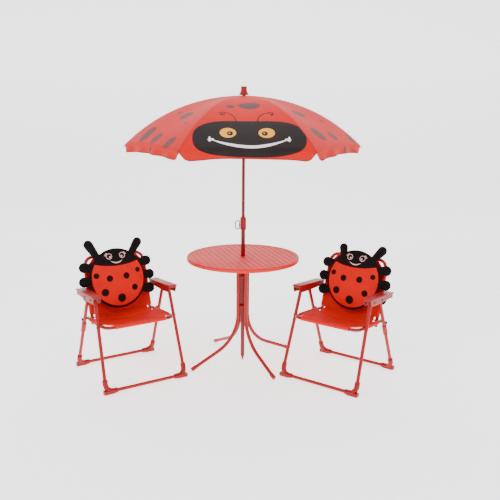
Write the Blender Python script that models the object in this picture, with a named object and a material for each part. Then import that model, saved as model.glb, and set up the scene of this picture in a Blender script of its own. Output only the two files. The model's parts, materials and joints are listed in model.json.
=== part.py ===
"""Children's round garden table with a parasol through its middle and two folding sling chairs.

Metres, +Z up, floor at z = 0, front of the set towards -Y. Run with
blender --background --python part.py
"""

import math

import bmesh
import bpy
from mathutils import Matrix, Vector

# Where the table's axis stands, so that the whole set is centred on the origin.
TABLE_X = 0.0348
TABLE_Y = 0.0

# Clearances: between parts that turn or slide, between parts that stand still, and between
# a tube and the plastic corner pressed round its bend.
RUNNING_GAP = 0.0004
PART_GAP = 0.0004
BOOT_GAP = 0.0006

# Parasol pole. The lower tube takes the upper one, and everything round them follows.
UPPER_POLE_RADIUS = 0.0070
LOWER_POLE_WALL = 0.00185
LOWER_POLE_BORE = UPPER_POLE_RADIUS + RUNNING_GAP
LOWER_POLE_RADIUS = LOWER_POLE_BORE + LOWER_POLE_WALL

# Table
TOP_RADIUS = 0.250
TOP_HEIGHT = 0.496
TOP_THICKNESS = 0.0035
RIM_DEPTH = 0.015
RIM_WALL = 0.0035
RIM_BAND = 0.011
RIM_BAND_RISE = 0.0012
RIM_CORNER = 0.003
POLE_HOLE_GAP = 0.00195
POLE_HOLE_RADIUS = LOWER_POLE_RADIUS + POLE_HOLE_GAP
HUB_HEIGHT = 0.022
HUB_MARGIN = 0.013
HUB_CHAMFER = 0.004
SOCKET_DEPTH = 0.016
LEG_RADIUS = 0.008
LEG_STANDOFF = 0.0058
LEG_BEND_HEIGHT = 0.228
LEG_BEND_RADIUS = 0.174
LEG_BEND_ANGLE = math.radians(66)
LEG_FIRST_ANGLE = 0.538
CAP_WALL = 0.0014
CAP_LENGTH = 0.026
CAP_EDGE = 0.0012
GUIDE_DROP = 0.0701
GUIDE_RISE = 0.034
GUIDE_THICKNESS = 0.006
GUIDE_GAP = 0.0012
GUIDE_NOTCH = 0.0035
TOP_UNDERSIDE = TOP_HEIGHT - TOP_THICKNESS
HUB_TOP = TOP_UNDERSIDE - PART_GAP
HUB_BOTTOM = HUB_TOP - HUB_HEIGHT
LEG_CLUSTER_RADIUS = POLE_HOLE_RADIUS + LEG_RADIUS + LEG_STANDOFF
HUB_RADIUS = LEG_CLUSTER_RADIUS + LEG_RADIUS + HUB_MARGIN
CAP_RADIUS = LEG_RADIUS + CAP_WALL
GUIDE_HEIGHTS = (HUB_BOTTOM - GUIDE_DROP, LEG_BEND_HEIGHT + GUIDE_RISE)

# Parasol
SPIKE_HEIGHT = 0.027
SPIKE_TIP_RADIUS = 0.0012
CLIP_ABOVE_TABLE = 0.156
POLE_OVERLAP = 0.124
TELESCOPE_ROOM = 0.128
CLIP_SKIRT = 0.035
CLIP_NECK = 0.0216
CLIP_WALL = 0.00425
PIN_DROP = 0.016
PIN_RADIUS = 0.0022
LOOP_REACH = 0.0165
LOOP_HALF_HEIGHT = 0.024
LOOP_WIRE = 0.0024
LOOP_STANDOFF = 0.0035
LOWER_POLE_TOP = TOP_HEIGHT + CLIP_ABOVE_TABLE
UPPER_POLE_BOTTOM = LOWER_POLE_TOP - POLE_OVERLAP
LOWER_POLE_BORE_END = UPPER_POLE_BOTTOM - TELESCOPE_ROOM
CLIP_BOTTOM = LOWER_POLE_TOP - CLIP_SKIRT
CLIP_TOP = LOWER_POLE_TOP + CLIP_NECK
CLIP_RADIUS = LOWER_POLE_RADIUS + CLIP_WALL
PIN_HEIGHT = LOWER_POLE_TOP - PIN_DROP
LOOP_ROOT = -CLIP_RADIUS - LOOP_STANDOFF
CANOPY_TOP = 1.195
CANOPY_A = 0.661
CANOPY_B = 0.548
CANOPY_RADIUS = 0.508
CANOPY_THICKNESS = 0.0014
CANOPY_HOLE_GAP = 0.0045
CANOPY_HOLE = UPPER_POLE_RADIUS + CANOPY_HOLE_GAP
VALANCE_DROP = 0.047
VALANCE_NOTCH = 0.016
RIB_COUNT = 6
RIB_FIRST_ANGLE = 0.027
RIB_RADIUS = 0.0015
RIB_DROP = 0.0030
RIB_TIP_OVERHANG = 0.007
CROWN_WALL = 0.0105
CROWN_NECK_WALL = 0.0035
CROWN_HEIGHT_UNDER_PIVOT = 0.006
CROWN_PIVOT_DROP = 0.004
RUNNER_DROP = 0.204
RUNNER_WALL = 0.0115
RUNNER_STEP = 0.005
RUNNER_SLEEVE = 0.018
PIVOT_STANDOFF = 0.002
CROWN_RADIUS = UPPER_POLE_RADIUS + CROWN_WALL
CROWN_PIVOT_RADIUS = CROWN_RADIUS + PIVOT_STANDOFF
CROWN_PIVOT_HEIGHT = CANOPY_TOP - CROWN_PIVOT_DROP
CROWN_TOP = CANOPY_TOP - 0.003
RUNNER_HEIGHT = CANOPY_TOP - RUNNER_DROP
RUNNER_RADIUS = UPPER_POLE_RADIUS + RUNNER_WALL
RUNNER_PIVOT_RADIUS = RUNNER_RADIUS + PIVOT_STANDOFF
STRUT_JOIN_RADIUS = 0.235
STRUT_RADIUS = 0.0014
STRUT_SIDE_STEP = 0.0036
FINIAL_HEIGHT = 0.038
FINIAL_RADIUS = 0.013
FINIAL_FLARE = 0.021
FINIAL_STEM_WALL = 0.001
FINIAL_TOP = CANOPY_TOP + FINIAL_HEIGHT

# Chairs: each one's own frame has its origin under the middle of the front floor bar,
# +X across and +Y rearwards. Profile points are (rearward, up).
CHAIRS = (
    ("chair_left", (-0.4058, -0.2740), 0.542),
    ("chair_right", (0.31615, -0.28142), -0.645),
)
TUBE_RADIUS = 0.0075
FOOT_HALF_WIDTH = 0.1780
LEG_TOP_INSET = 0.0110
LEG_TRACK_STEP = 0.0050
FRAME_DEPTH = 0.352
BAR_CLEARANCE = 0.0020
CORNER_RADIUS = 0.030
ARM_PIVOT = (0.1220, 0.3700)
SEAT_PIVOT_HEIGHT = 0.2600
SEAT_SLOPE = math.radians(-4.6)
REAR_PIVOT_REACH = 0.0740
SEAT_SIDE_GAP = 0.0039
BACK_SIDE_GAP = 0.0010
SEAT_FRONT_REACH = 0.040
SEAT_TUBE_END = 0.012
BACK_LEAN = math.radians(16.6)
BACK_HEIGHT = 0.263
BACK_TAIL = 0.028
BACK_CORNER_RADIUS = 0.036
ROD_RADIUS = 0.0032
ROD_LEG_GAP = 0.0008
ROD_END = 0.0090
LEG_END = 0.006
PIN_STUB_RADIUS = 0.0026
PIN_STUB_END = 0.002
HOLE_REACH = 0.03
ARM_SIDE_ROOM = 0.0037
ARM_SKIRT_THICKNESS = 0.0028
ARM_LIP = 0.0040
ARM_PLATE_THICKNESS = 0.0045
ARM_FRONT_REACH = 0.041
ARM_REAR_MARGIN = 0.0058
ARM_TOP_ABOVE_PIVOT = 0.0195
ARM_FRONT_SKIRT = 0.033
ARM_REAR_SKIRT = 0.020
ARM_NOSE_SKIRT = 0.012
BOOT_WALL = 0.0034
BOOT_RISE = 0.050
BOOT_RUN = 0.048
BOOT_TOE_IN = 0.036
BOOT_TOE_OUT = 0.0100
BOOT_TOE_SIDE = 0.003
BOOT_TOE_HEIGHT = 0.006
SADDLE_HALF_WIDTH = 0.006
SADDLE_WALL = 0.0030
SADDLE_SLEEVE = 0.0030
SLEEVE_WALL = 0.0019
SLING_THICKNESS = 0.0024
SLING_SIDE_GAP = 0.0008
SLING_FRONT_REACH = 0.030
SEAT_SLING_REAR = 0.0292
BACK_SLING_LOW = 0.014
BACK_SLING_TOP = 0.031
SEAT_SAG = 0.014
BACK_SAG = 0.008
CUSHION_INSET = 0.0065
CUSHION_HALF_HEIGHT = 0.133
CUSHION_THICKNESS = 0.052
CUSHION_DROP = 0.116

RED_PAINT = (0.62, 0.045, 0.035)
RED_PLASTIC = (0.60, 0.030, 0.030)
RED_CLOTH = (0.90, 0.090, 0.060)
CANOPY_CLOTH = (0.95, 0.200, 0.160)
DARK_STEEL = (0.20, 0.180, 0.180)
PLUSH = (0.85, 0.050, 0.030)


def make_material(name, colour, roughness, metallic):
    material = bpy.data.materials.new(name)
    material.use_nodes = True
    shader = material.node_tree.nodes["Principled BSDF"]
    shader.inputs["Base Color"].default_value = (*colour, 1.0)
    shader.inputs["Roughness"].default_value = roughness
    shader.inputs["Metallic"].default_value = metallic
    return material


def make_empty(name, location, parent=None, turn=0.0):
    empty = bpy.data.objects.new(name, None)
    empty.empty_display_size = 0.03
    empty.location = location
    empty.rotation_euler = (0.0, 0.0, turn)
    empty.parent = parent
    bpy.context.scene.collection.objects.link(empty)
    return empty


def finish_object(name, mesh, finish, parent, origin=(0.0, 0.0, 0.0), smooth=True):
    """Link the mesh, drawn about the parent's frame, as one object whose origin is at origin."""
    mesh.transform(Matrix.Translation(-Vector(origin)))
    for polygon in mesh.polygons:
        polygon.use_smooth = smooth
    obj = bpy.data.objects.new(name, mesh)
    obj.parent = parent
    bpy.context.scene.collection.objects.link(obj)
    colour, roughness, metallic = finish
    mesh.materials.clear()
    mesh.materials.append(make_material(name + "_finish", colour, roughness, metallic))
    return obj


def mesh_from(builder):
    mesh = bpy.data.meshes.new("shape")
    bmesh.ops.recalc_face_normals(builder, faces=builder.faces)
    builder.to_mesh(mesh)
    builder.free()
    return mesh


def loft(rings, capped=True, joined=False):
    """Skin equal-length closed rings into one closed mesh; joined runs the last ring to the first."""
    builder = bmesh.new()
    rows = [[builder.verts.new(point) for point in ring] for ring in rings]
    count = len(rows[0])
    pairs = list(zip(rows, rows[1:]))
    if joined:
        pairs.append((rows[-1], rows[0]))
    for lower, upper in pairs:
        for i in range(count):
            j = (i + 1) % count
            builder.faces.new((lower[i], lower[j], upper[j], upper[i]))
    if capped and not joined:
        builder.faces.new(rows[0])
        builder.faces.new(rows[-1])
    return mesh_from(builder)


def circle(centre, across, up, radius, sides):
    centre, across, up = Vector(centre), Vector(across), Vector(up)
    ring = []
    for i in range(sides):
        angle = 2 * math.pi * (i + 0.5) / sides
        ring.append(centre + radius * (math.cos(angle) * across + math.sin(angle) * up))
    return ring


def sweep(path, radius, sides=10, radii=None):
    """A round bar along the path, its rings carried without twist and mitred at the corners."""
    path = [Vector(point) for point in path]
    steps = [(b - a).normalized() for a, b in zip(path, path[1:])]
    across = steps[0].orthogonal().normalized()
    rings = []
    for i, point in enumerate(path):
        before = steps[max(i - 1, 0)]
        after = steps[min(i, len(steps) - 1)]
        along = (before + after).normalized()
        across = (across - across.dot(along) * along).normalized()
        size = radii[i] if radii else radius
        rings.append(circle(point, across, along.cross(across), size, sides))
    return loft(rings)


def closed_bar(path, normal, radius, sides=8):
    """A round bar along a closed flat path whose plane has that normal."""
    path = [Vector(point) for point in path]
    normal = Vector(normal)
    rings = []
    for i, point in enumerate(path):
        along = (path[(i + 1) % len(path)] - path[i - 1]).normalized()
        rings.append(circle(point, normal, along.cross(normal), radius, sides))
    return loft(rings, joined=True)


def lathe(profile, segments):
    """Turn a closed (radius, height) outline about the vertical axis through the origin."""
    rings = []
    for i in range(segments):
        angle = 2 * math.pi * i / segments
        c, s = math.cos(angle), math.sin(angle)
        rings.append([(r * c, r * s, z) for r, z in profile])
    return loft(rings, joined=True)


def block(low, high):
    builder = bmesh.new()
    bmesh.ops.create_cube(builder, size=1.0)
    mesh = mesh_from(builder)
    low, high = Vector(low), Vector(high)
    size = high - low
    scale = Matrix.Diagonal((size.x, size.y, size.z, 1.0))
    mesh.transform(Matrix.Translation((low + high) / 2) @ scale)
    return mesh


def prism(outline, across, width, shift):
    """Extrude a closed outline of points by width along across, starting from shift."""
    across = Vector(across)
    near = [Vector(point) + across * shift for point in outline]
    far = [point + across * width for point in near]
    return loft([near, far])


def combine(mesh, others, operation):
    """Join or cut mesh with the others, one after another, and return the result."""
    target = bpy.data.objects.new("target", mesh)
    bpy.context.scene.collection.objects.link(target)
    helpers = []
    for other in others:
        helper = bpy.data.objects.new("helper", other)
        bpy.context.scene.collection.objects.link(helper)
        helpers.append(helper)
        modifier = target.modifiers.new("Boolean", "BOOLEAN")
        modifier.operation = operation
        modifier.solver = "EXACT"
        modifier.object = helper
    bpy.context.view_layer.update()
    graph = bpy.context.evaluated_depsgraph_get()
    result = bpy.data.meshes.new_from_object(target.evaluated_get(graph))
    for obj in [target, *helpers]:
        bpy.data.objects.remove(obj)
    return result


def rounded(points, radius, steps=5):
    """The polyline with each inner corner replaced by an arc of the given radius."""
    points = [Vector(point) for point in points]
    path = [points[0]]
    for before, corner, after in zip(points, points[1:], points[2:]):
        back = (before - corner).normalized()
        ahead = (after - corner).normalized()
        half = back.angle(ahead) / 2
        reach = radius / math.tan(half)
        centre = corner + (back + ahead).normalized() * (radius / math.sin(half))
        start = corner + back * reach - centre
        turn = start.cross(corner + ahead * reach - centre).normalized()
        total = math.pi - 2 * half
        for i in range(steps + 1):
            path.append(centre + Matrix.Rotation(total * i / steps, 3, turn) @ start)
    path.append(points[-1])
    return path


def canopy_height(radius):
    """Height of the ridge of the cloth over a rib, at that distance from the pole."""
    return CANOPY_TOP - CANOPY_A * radius**2 - CANOPY_B * radius**4


def polar(radius, angle, height):
    return Vector((radius * math.cos(angle), radius * math.sin(angle), height))


# ---------------------------------------------------------------- table


def build_table(root):
    paint = (RED_PAINT, 0.35, 0.2)
    plastic = (RED_PLASTIC, 0.5, 0.0)
    band = TOP_RADIUS - RIM_BAND
    rim_top = TOP_HEIGHT + RIM_BAND_RISE
    top_profile = [
        (POLE_HOLE_RADIUS, TOP_HEIGHT),
        (band - 0.002, TOP_HEIGHT),
        (band, rim_top),
        (TOP_RADIUS - RIM_CORNER, rim_top),
        (TOP_RADIUS - RIM_CORNER / 4, rim_top - RIM_CORNER * 0.4),
        (TOP_RADIUS, TOP_HEIGHT - RIM_CORNER),
        (TOP_RADIUS, TOP_HEIGHT - RIM_DEPTH + 0.001),
        (TOP_RADIUS - 0.001, TOP_HEIGHT - RIM_DEPTH),
        (TOP_RADIUS - RIM_WALL, TOP_HEIGHT - RIM_DEPTH),
        (TOP_RADIUS - RIM_WALL, TOP_UNDERSIDE),
        (POLE_HOLE_RADIUS, TOP_UNDERSIDE),
    ]
    finish_object("table_top", lathe(top_profile, 48), paint, root)

    hub_profile = [
        (POLE_HOLE_RADIUS, HUB_TOP),
        (HUB_RADIUS, HUB_TOP),
        (HUB_RADIUS, HUB_BOTTOM + HUB_CHAMFER),
        (HUB_RADIUS - HUB_CHAMFER * 0.75, HUB_BOTTOM),
        (POLE_HOLE_RADIUS, HUB_BOTTOM),
    ]
    angles = [LEG_FIRST_ANGLE + i * math.pi / 2 for i in range(4)]
    sockets = leg_cutters(angles, HUB_BOTTOM - 0.01, HUB_BOTTOM + SOCKET_DEPTH)
    hub = combine(lathe(hub_profile, 32), sockets, "DIFFERENCE")
    finish_object("table_hub", hub, plastic, root, smooth=False)
    for i, angle in enumerate(angles):
        finish_object(f"table_leg_{i + 1}", table_leg(angle), paint, root)
    inner = LOWER_POLE_RADIUS + GUIDE_GAP
    outer = LEG_CLUSTER_RADIUS - LEG_RADIUS + GUIDE_NOTCH
    for i, height in enumerate(GUIDE_HEIGHTS):
        ring = [
            (inner, height + GUIDE_THICKNESS),
            (outer, height + GUIDE_THICKNESS),
            (outer, height),
            (inner, height),
        ]
        cutters = leg_cutters(angles, height - 0.01, height + GUIDE_THICKNESS + 0.014)
        shape = combine(lathe(ring, 24), cutters, "DIFFERENCE")
        finish_object(f"pole_guide_{i + 1}", shape, plastic, root, smooth=False)


def leg_cutters(angles, low, high):
    """The room that the upright stretch of each leg takes between two heights."""
    cutters = []
    for angle in angles:
        ends = [polar(LEG_CLUSTER_RADIUS, angle, low), polar(LEG_CLUSTER_RADIUS, angle, high)]
        cutters.append(sweep(ends, LEG_RADIUS + PART_GAP, 12))
    return cutters


def table_leg(angle):
    """A tube that drops from its socket, sweeps outwards and ends in a plug at the floor."""
    top = HUB_BOTTOM + SOCKET_DEPTH - PART_GAP
    outline = [(LEG_CLUSTER_RADIUS, top), (LEG_CLUSTER_RADIUS, LEG_BEND_HEIGHT)]
    bend_steps = 9
    for i in range(1, bend_steps + 1):
        turn = LEG_BEND_ANGLE * i / bend_steps
        out = LEG_CLUSTER_RADIUS + LEG_BEND_RADIUS * (1 - math.cos(turn))
        outline.append((out, LEG_BEND_HEIGHT - LEG_BEND_RADIUS * math.sin(turn)))
    out, low = outline[-1]
    slope = (math.sin(LEG_BEND_ANGLE), -math.cos(LEG_BEND_ANGLE))
    end_height = CAP_RADIUS * math.sin(LEG_BEND_ANGLE)
    run = (low - end_height) / -slope[1]
    cap_start = run - CAP_LENGTH
    for reach in (cap_start, cap_start + 0.0004, run - 0.002, run):
        outline.append((out + slope[0] * reach, low + slope[1] * reach))
    cap_radii = [CAP_RADIUS, CAP_RADIUS, CAP_RADIUS - CAP_EDGE]
    radii = [LEG_RADIUS] * (len(outline) - len(cap_radii)) + cap_radii
    path = [polar(r, angle, z) for r, z in outline]
    return sweep(path, LEG_RADIUS, 12, radii)


# ---------------------------------------------------------------- parasol


def build_parasol(root):
    paint = (RED_PAINT, 0.35, 0.2)
    plastic = (RED_PLASTIC, 0.5, 0.0)
    umbrella = make_empty("parasol_base", (0, 0, 0), root)
    lower_profile = [
        (LOWER_POLE_RADIUS, LOWER_POLE_TOP),
        (LOWER_POLE_RADIUS, SPIKE_HEIGHT),
        (LOWER_POLE_RADIUS - 0.001, SPIKE_HEIGHT - 0.002),
        (SPIKE_TIP_RADIUS, 0.0),
    ]
    rings = [circle((0, 0, z), (1, 0, 0), (0, 1, 0), r, 20) for r, z in lower_profile]
    bore = sweep([(0, 0, LOWER_POLE_BORE_END), (0, 0, LOWER_POLE_TOP + 0.1)], LOWER_POLE_BORE, 20)
    lower = combine(loft(rings), [bore, pin_hole_cutter()], "DIFFERENCE")
    finish_object("lower_pole", lower, paint, umbrella)

    clip_profile = [
        (LOWER_POLE_RADIUS + PART_GAP, CLIP_BOTTOM),
        (LOWER_POLE_RADIUS + PART_GAP, LOWER_POLE_TOP + PART_GAP),
        (LOWER_POLE_BORE, LOWER_POLE_TOP + PART_GAP),
        (LOWER_POLE_BORE, CLIP_TOP),
        (CLIP_RADIUS - 0.0035, CLIP_TOP),
        (CLIP_RADIUS - 0.0008, CLIP_TOP - 0.006),
        (CLIP_RADIUS, CLIP_TOP - 0.010),
        (CLIP_RADIUS, CLIP_BOTTOM + 0.002),
        (CLIP_RADIUS - 0.001, CLIP_BOTTOM),
    ]
    clip = combine(lathe(clip_profile, 24), [pin_hole_cutter()], "DIFFERENCE")
    finish_object("pole_clip", clip, plastic, umbrella)

    origin = (-CLIP_RADIUS, 0, PIN_HEIGHT)
    pin_body = make_empty("pull_pin_body", origin, umbrella)
    finish_object("pull_pin", pull_pin_mesh(), (DARK_STEEL, 0.3, 1.0), pin_body, origin)

    upper_origin = (0, 0, LOWER_POLE_TOP)
    upper = make_empty("upper_pole_body", upper_origin, umbrella)
    crown_bottom = CROWN_PIVOT_HEIGHT - CROWN_HEIGHT_UNDER_PIVOT
    pole = sweep([(0, 0, UPPER_POLE_BOTTOM), (0, 0, CROWN_TOP - 0.004)], UPPER_POLE_RADIUS, 20)
    finish_object("upper_pole", pole, paint, upper, upper_origin)
    crown_profile = [
        (UPPER_POLE_RADIUS + PART_GAP, crown_bottom),
        (UPPER_POLE_RADIUS + PART_GAP, CROWN_TOP - 0.0005),
        (UPPER_POLE_RADIUS + CROWN_NECK_WALL, CROWN_TOP - 0.0005),
        (CROWN_RADIUS, CROWN_TOP - 0.005),
        (CROWN_RADIUS, crown_bottom),
    ]
    finish_object("crown", lathe(crown_profile, 24), plastic, upper, upper_origin)
    flare_low = canopy_height(FINIAL_FLARE) + 0.0020
    finial_profile = [
        (FINIAL_FLARE, flare_low),
        (FINIAL_FLARE, flare_low + 0.004),
        (FINIAL_FLARE - 0.004, flare_low + 0.009),
        (FINIAL_RADIUS + 0.001, flare_low + 0.015),
        (FINIAL_RADIUS, flare_low + 0.019),
        (FINIAL_RADIUS, FINIAL_TOP - 0.003),
        (FINIAL_RADIUS - 0.003, FINIAL_TOP),
    ]
    rings = [circle((0, 0, z), (1, 0, 0), (0, 1, 0), r, 24) for r, z in finial_profile]
    stem_ends = [(0, 0, CROWN_TOP + PART_GAP), (0, 0, flare_low + 0.01)]
    stem = sweep(stem_ends, UPPER_POLE_RADIUS + FINIAL_STEM_WALL, 16)
    finial = combine(loft(rings), [stem], "UNION")
    finish_object("finial", finial, plastic, upper, upper_origin)

    runner = make_empty("runner_body", (0, 0, RUNNER_HEIGHT), upper)
    runner.location = Vector((0, 0, RUNNER_HEIGHT)) - Vector(upper_origin)
    runner_origin = (0, 0, RUNNER_HEIGHT)
    runner_profile = [
        (UPPER_POLE_RADIUS + RUNNING_GAP, RUNNER_HEIGHT - RUNNER_SLEEVE),
        (UPPER_POLE_RADIUS + RUNNING_GAP, RUNNER_HEIGHT + 0.006),
        (RUNNER_RADIUS, RUNNER_HEIGHT + 0.006),
        (RUNNER_RADIUS, RUNNER_HEIGHT - 0.004),
        (RUNNER_RADIUS - RUNNER_STEP, RUNNER_HEIGHT - 0.006),
        (RUNNER_RADIUS - RUNNER_STEP, RUNNER_HEIGHT - RUNNER_SLEEVE),
    ]
    finish_object("runner", lathe(runner_profile, 24), plastic, runner, runner_origin)

    for i in range(RIB_COUNT):
        angle = RIB_FIRST_ANGLE + i * 2 * math.pi / RIB_COUNT
        build_rib(i + 1, angle, upper, Vector(upper_origin))
        build_strut(i + 1, angle, runner, Vector(runner_origin))


def pin_hole_cutter():
    """The hole that the pull pin slides in, from outside the clip to the pole's middle."""
    ends = [(-CLIP_RADIUS - 0.01, 0, PIN_HEIGHT), (0, 0, PIN_HEIGHT)]
    return sweep(ends, PIN_RADIUS + RUNNING_GAP, 8)


def pull_pin_mesh():
    """A short pin across the clip with a wire loop on its outer end for a finger."""
    inner_end = -UPPER_POLE_RADIUS - PART_GAP
    pin = sweep([(inner_end, 0, PIN_HEIGHT), (LOOP_ROOT - 0.001, 0, PIN_HEIGHT)], PIN_RADIUS, 8)
    high = PIN_HEIGHT + LOOP_HALF_HEIGHT
    low = PIN_HEIGHT - LOOP_HALF_HEIGHT * 0.75
    corners = [
        (LOOP_ROOT, 0, PIN_HEIGHT),
        (LOOP_ROOT, 0, high),
        (LOOP_ROOT - LOOP_REACH, 0, high - 0.008),
        (LOOP_ROOT - LOOP_REACH, 0, low + 0.004),
        (LOOP_ROOT, 0, low),
        (LOOP_ROOT, 0, PIN_HEIGHT - 0.004),
    ]
    loop = closed_bar(rounded(corners, 0.005, 3), (0, 1, 0), LOOP_WIRE)
    return combine(loop, [pin], "UNION")


def rib_line(radius):
    """Centre line of a rib, just under the cloth."""
    return canopy_height(radius) - CANOPY_THICKNESS / 2 - RIB_DROP


def build_rib(number, angle, upper, upper_origin):
    pivot = polar(CROWN_PIVOT_RADIUS, angle, CROWN_PIVOT_HEIGHT)
    body = make_empty(f"rib_body_{number}", pivot - upper_origin, upper)
    reach = CANOPY_RADIUS + RIB_TIP_OVERHANG
    steps = 9
    path = []
    for i in range(steps + 1):
        radius = CROWN_PIVOT_RADIUS + (reach - CROWN_PIVOT_RADIUS) * i / steps
        path.append(polar(radius, angle, rib_line(radius)))
    rib = sweep(path, RIB_RADIUS, 6)
    finish_object(f"rib_{number}", rib, (DARK_STEEL, 0.4, 1.0), body, pivot)
    gore = canopy_gore(angle)
    finish_object(f"canopy_gore_{number}", gore, (CANOPY_CLOTH, 0.7, 0.0), body, pivot, False)


def canopy_gore(angle):
    """A sixth of the cloth, folded over its rib, with its half of each valance flap."""
    half = math.pi / RIB_COUNT
    shares = (-1.0, -0.55, -0.09, 0.0, 0.09, 0.55, 1.0)
    rows_out = 9
    step = (CANOPY_RADIUS - CANOPY_HOLE) / rows_out
    radii = [CANOPY_HOLE + step * i for i in range(rows_out + 1)]
    seam = PART_GAP / 2 / math.tan(half)
    builder = bmesh.new()
    rows = []
    for radius in radii:
        tip = polar(radius, angle, canopy_height(radius))
        row = []
        for share in shares:
            turn = math.copysign(half, share)
            middle = polar(radius * math.cos(half), angle + turn, canopy_height(radius))
            edge = 1.0 - (seam + 0.0002) / (radius * math.sin(half))
            row.append(builder.verts.new(tip.lerp(middle, abs(share) * edge)))
        rows.append(row)
    for inner, outer in zip(rows, rows[1:]):
        for i in range(len(shares) - 1):
            builder.faces.new((inner[i], inner[i + 1], outer[i + 1], outer[i]))
    rim = rows[-1]
    for drop, notch in ((VALANCE_DROP * 0.55, 0.0), (VALANCE_DROP, VALANCE_NOTCH * 0.6)):
        hem = []
        for i, vert in enumerate(rim if notch == 0.0 else previous):
            if vert is None or shares[i] == 0.0:
                hem.append(None)
                continue
            share = shares[i]
            point = vert.co.copy()
            point.z = canopy_height(CANOPY_RADIUS) - drop
            if abs(share) < 0.2 and notch:
                along = rim[0 if share < 0 else -1].co - rim[i].co
                along.z = 0
                point += along.normalized() * notch
            hem.append(builder.verts.new(point))
        source = rim if notch == 0.0 else previous
        for i in range(len(shares) - 1):
            if hem[i] is not None and hem[i + 1] is not None:
                builder.faces.new((source[i], source[i + 1], hem[i + 1], hem[i]))
        previous = hem
    bmesh.ops.recalc_face_normals(builder, faces=builder.faces)
    mesh = bpy.data.meshes.new("cloth")
    builder.to_mesh(mesh)
    builder.free()
    target = bpy.data.objects.new("target", mesh)
    bpy.context.scene.collection.objects.link(target)
    thicken = target.modifiers.new("Solidify", "SOLIDIFY")
    thicken.thickness = CANOPY_THICKNESS
    thicken.offset = 0.0
    thicken.use_even_offset = False
    bpy.context.view_layer.update()
    graph = bpy.context.evaluated_depsgraph_get()
    solid = bpy.data.meshes.new_from_object(target.evaluated_get(graph))
    bpy.data.objects.remove(target)
    return solid


def build_strut(number, angle, runner, runner_origin):
    side = Vector((-math.sin(angle), math.cos(angle), 0)) * STRUT_SIDE_STEP
    pivot = polar(RUNNER_PIVOT_RADIUS, angle, RUNNER_HEIGHT)
    join = polar(STRUT_JOIN_RADIUS, angle, rib_line(STRUT_JOIN_RADIUS))
    body = make_empty(f"strut_body_{number}", pivot - runner_origin, runner)
    strut = sweep([pivot, pivot.lerp(join, 0.08) + side, join + side], STRUT_RADIUS, 6)
    finish_object(f"strut_{number}", strut, (DARK_STEEL, 0.4, 1.0), body, pivot)


# ---------------------------------------------------------------- chairs


def side_point(x, profile):
    return Vector((x, profile[0], profile[1]))


def profile_step(start, angle, reach):
    return (start[0] + reach * math.cos(angle), start[1] + reach * math.sin(angle))


def lerp2(a, b, share):
    return (a[0] + (b[0] - a[0]) * share, a[1] + (b[1] - a[1]) * share)


def leg_x(top_x, share):
    """How far out a leg's centre line is, at that share of the way up to its top pivot."""
    return FOOT_HALF_WIDTH + (top_x - FOOT_HALF_WIDTH) * share


def seat_length():
    """From seat pivot to rod, so that the rod just clears the back of the rear legs."""
    legs = Vector(REAR_PIVOT) - Vector(REAR_FOOT)
    behind = Vector((legs.y, -legs.x)).normalized()
    along = Vector((math.cos(SEAT_SLOPE), math.sin(SEAT_SLOPE)))
    wanted = TUBE_RADIUS + ROD_RADIUS + ROD_LEG_GAP
    start = (Vector(SEAT_PIVOT) - Vector(REAR_FOOT)).dot(behind)
    return (wanted - start) / along.dot(behind)


# Tube lines and pivots that follow from the driving sizes.
BAR_HEIGHT = TUBE_RADIUS + BAR_CLEARANCE
FRONT_TOP_HALF_WIDTH = FOOT_HALF_WIDTH - LEG_TOP_INSET
REAR_TOP_HALF_WIDTH = FRONT_TOP_HALF_WIDTH + LEG_TRACK_STEP
ARM_X = (FRONT_TOP_HALF_WIDTH + REAR_TOP_HALF_WIDTH) / 2
FRONT_FOOT = (0.0, BAR_HEIGHT)
REAR_FOOT = (FRAME_DEPTH, BAR_HEIGHT)
SEAT_SHARE = (SEAT_PIVOT_HEIGHT - BAR_HEIGHT) / (ARM_PIVOT[1] - BAR_HEIGHT)
SEAT_PIVOT = lerp2(FRONT_FOOT, ARM_PIVOT, SEAT_SHARE)
REAR_PIVOT = profile_step(ARM_PIVOT, SEAT_SLOPE, REAR_PIVOT_REACH)
SEAT_LENGTH = seat_length()
ROD_PIVOT = profile_step(SEAT_PIVOT, SEAT_SLOPE, SEAT_LENGTH)
BACK_PIVOT = profile_step(ARM_PIVOT, SEAT_SLOPE, SEAT_LENGTH)
ROD_SHARE = (ROD_PIVOT[1] - REAR_FOOT[1]) / (REAR_PIVOT[1] - REAR_FOOT[1])
SEAT_LEG_X = leg_x(FRONT_TOP_HALF_WIDTH, SEAT_SHARE)
ROD_LEG_X = leg_x(REAR_TOP_HALF_WIDTH, ROD_SHARE)
SEAT_TUBE_X = SEAT_LEG_X - 2 * TUBE_RADIUS - SEAT_SIDE_GAP
BACK_TUBE_X = SEAT_TUBE_X - 2 * TUBE_RADIUS - BACK_SIDE_GAP
ROD_HALF_LENGTH = ROD_LEG_X + ROD_END
ARM_SKIRT_IN = LEG_TRACK_STEP / 2 + TUBE_RADIUS + ARM_SIDE_ROOM
ARM_SKIRT_OUT = ARM_SKIRT_IN + ARM_SKIRT_THICKNESS
ARM_HALF_WIDTH = ARM_SKIRT_OUT + ARM_LIP
ARM_REAR_REACH = SEAT_LENGTH + ARM_REAR_MARGIN
BOOT_WALL_RADIUS = TUBE_RADIUS + BOOT_GAP + BOOT_WALL
SLEEVE_RADIUS = TUBE_RADIUS + PART_GAP + SLEEVE_WALL
CUSHION_HALF_WIDTH = BACK_TUBE_X - CUSHION_INSET
CUSHION_CENTRE_UP = BACK_HEIGHT - CUSHION_DROP


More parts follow.
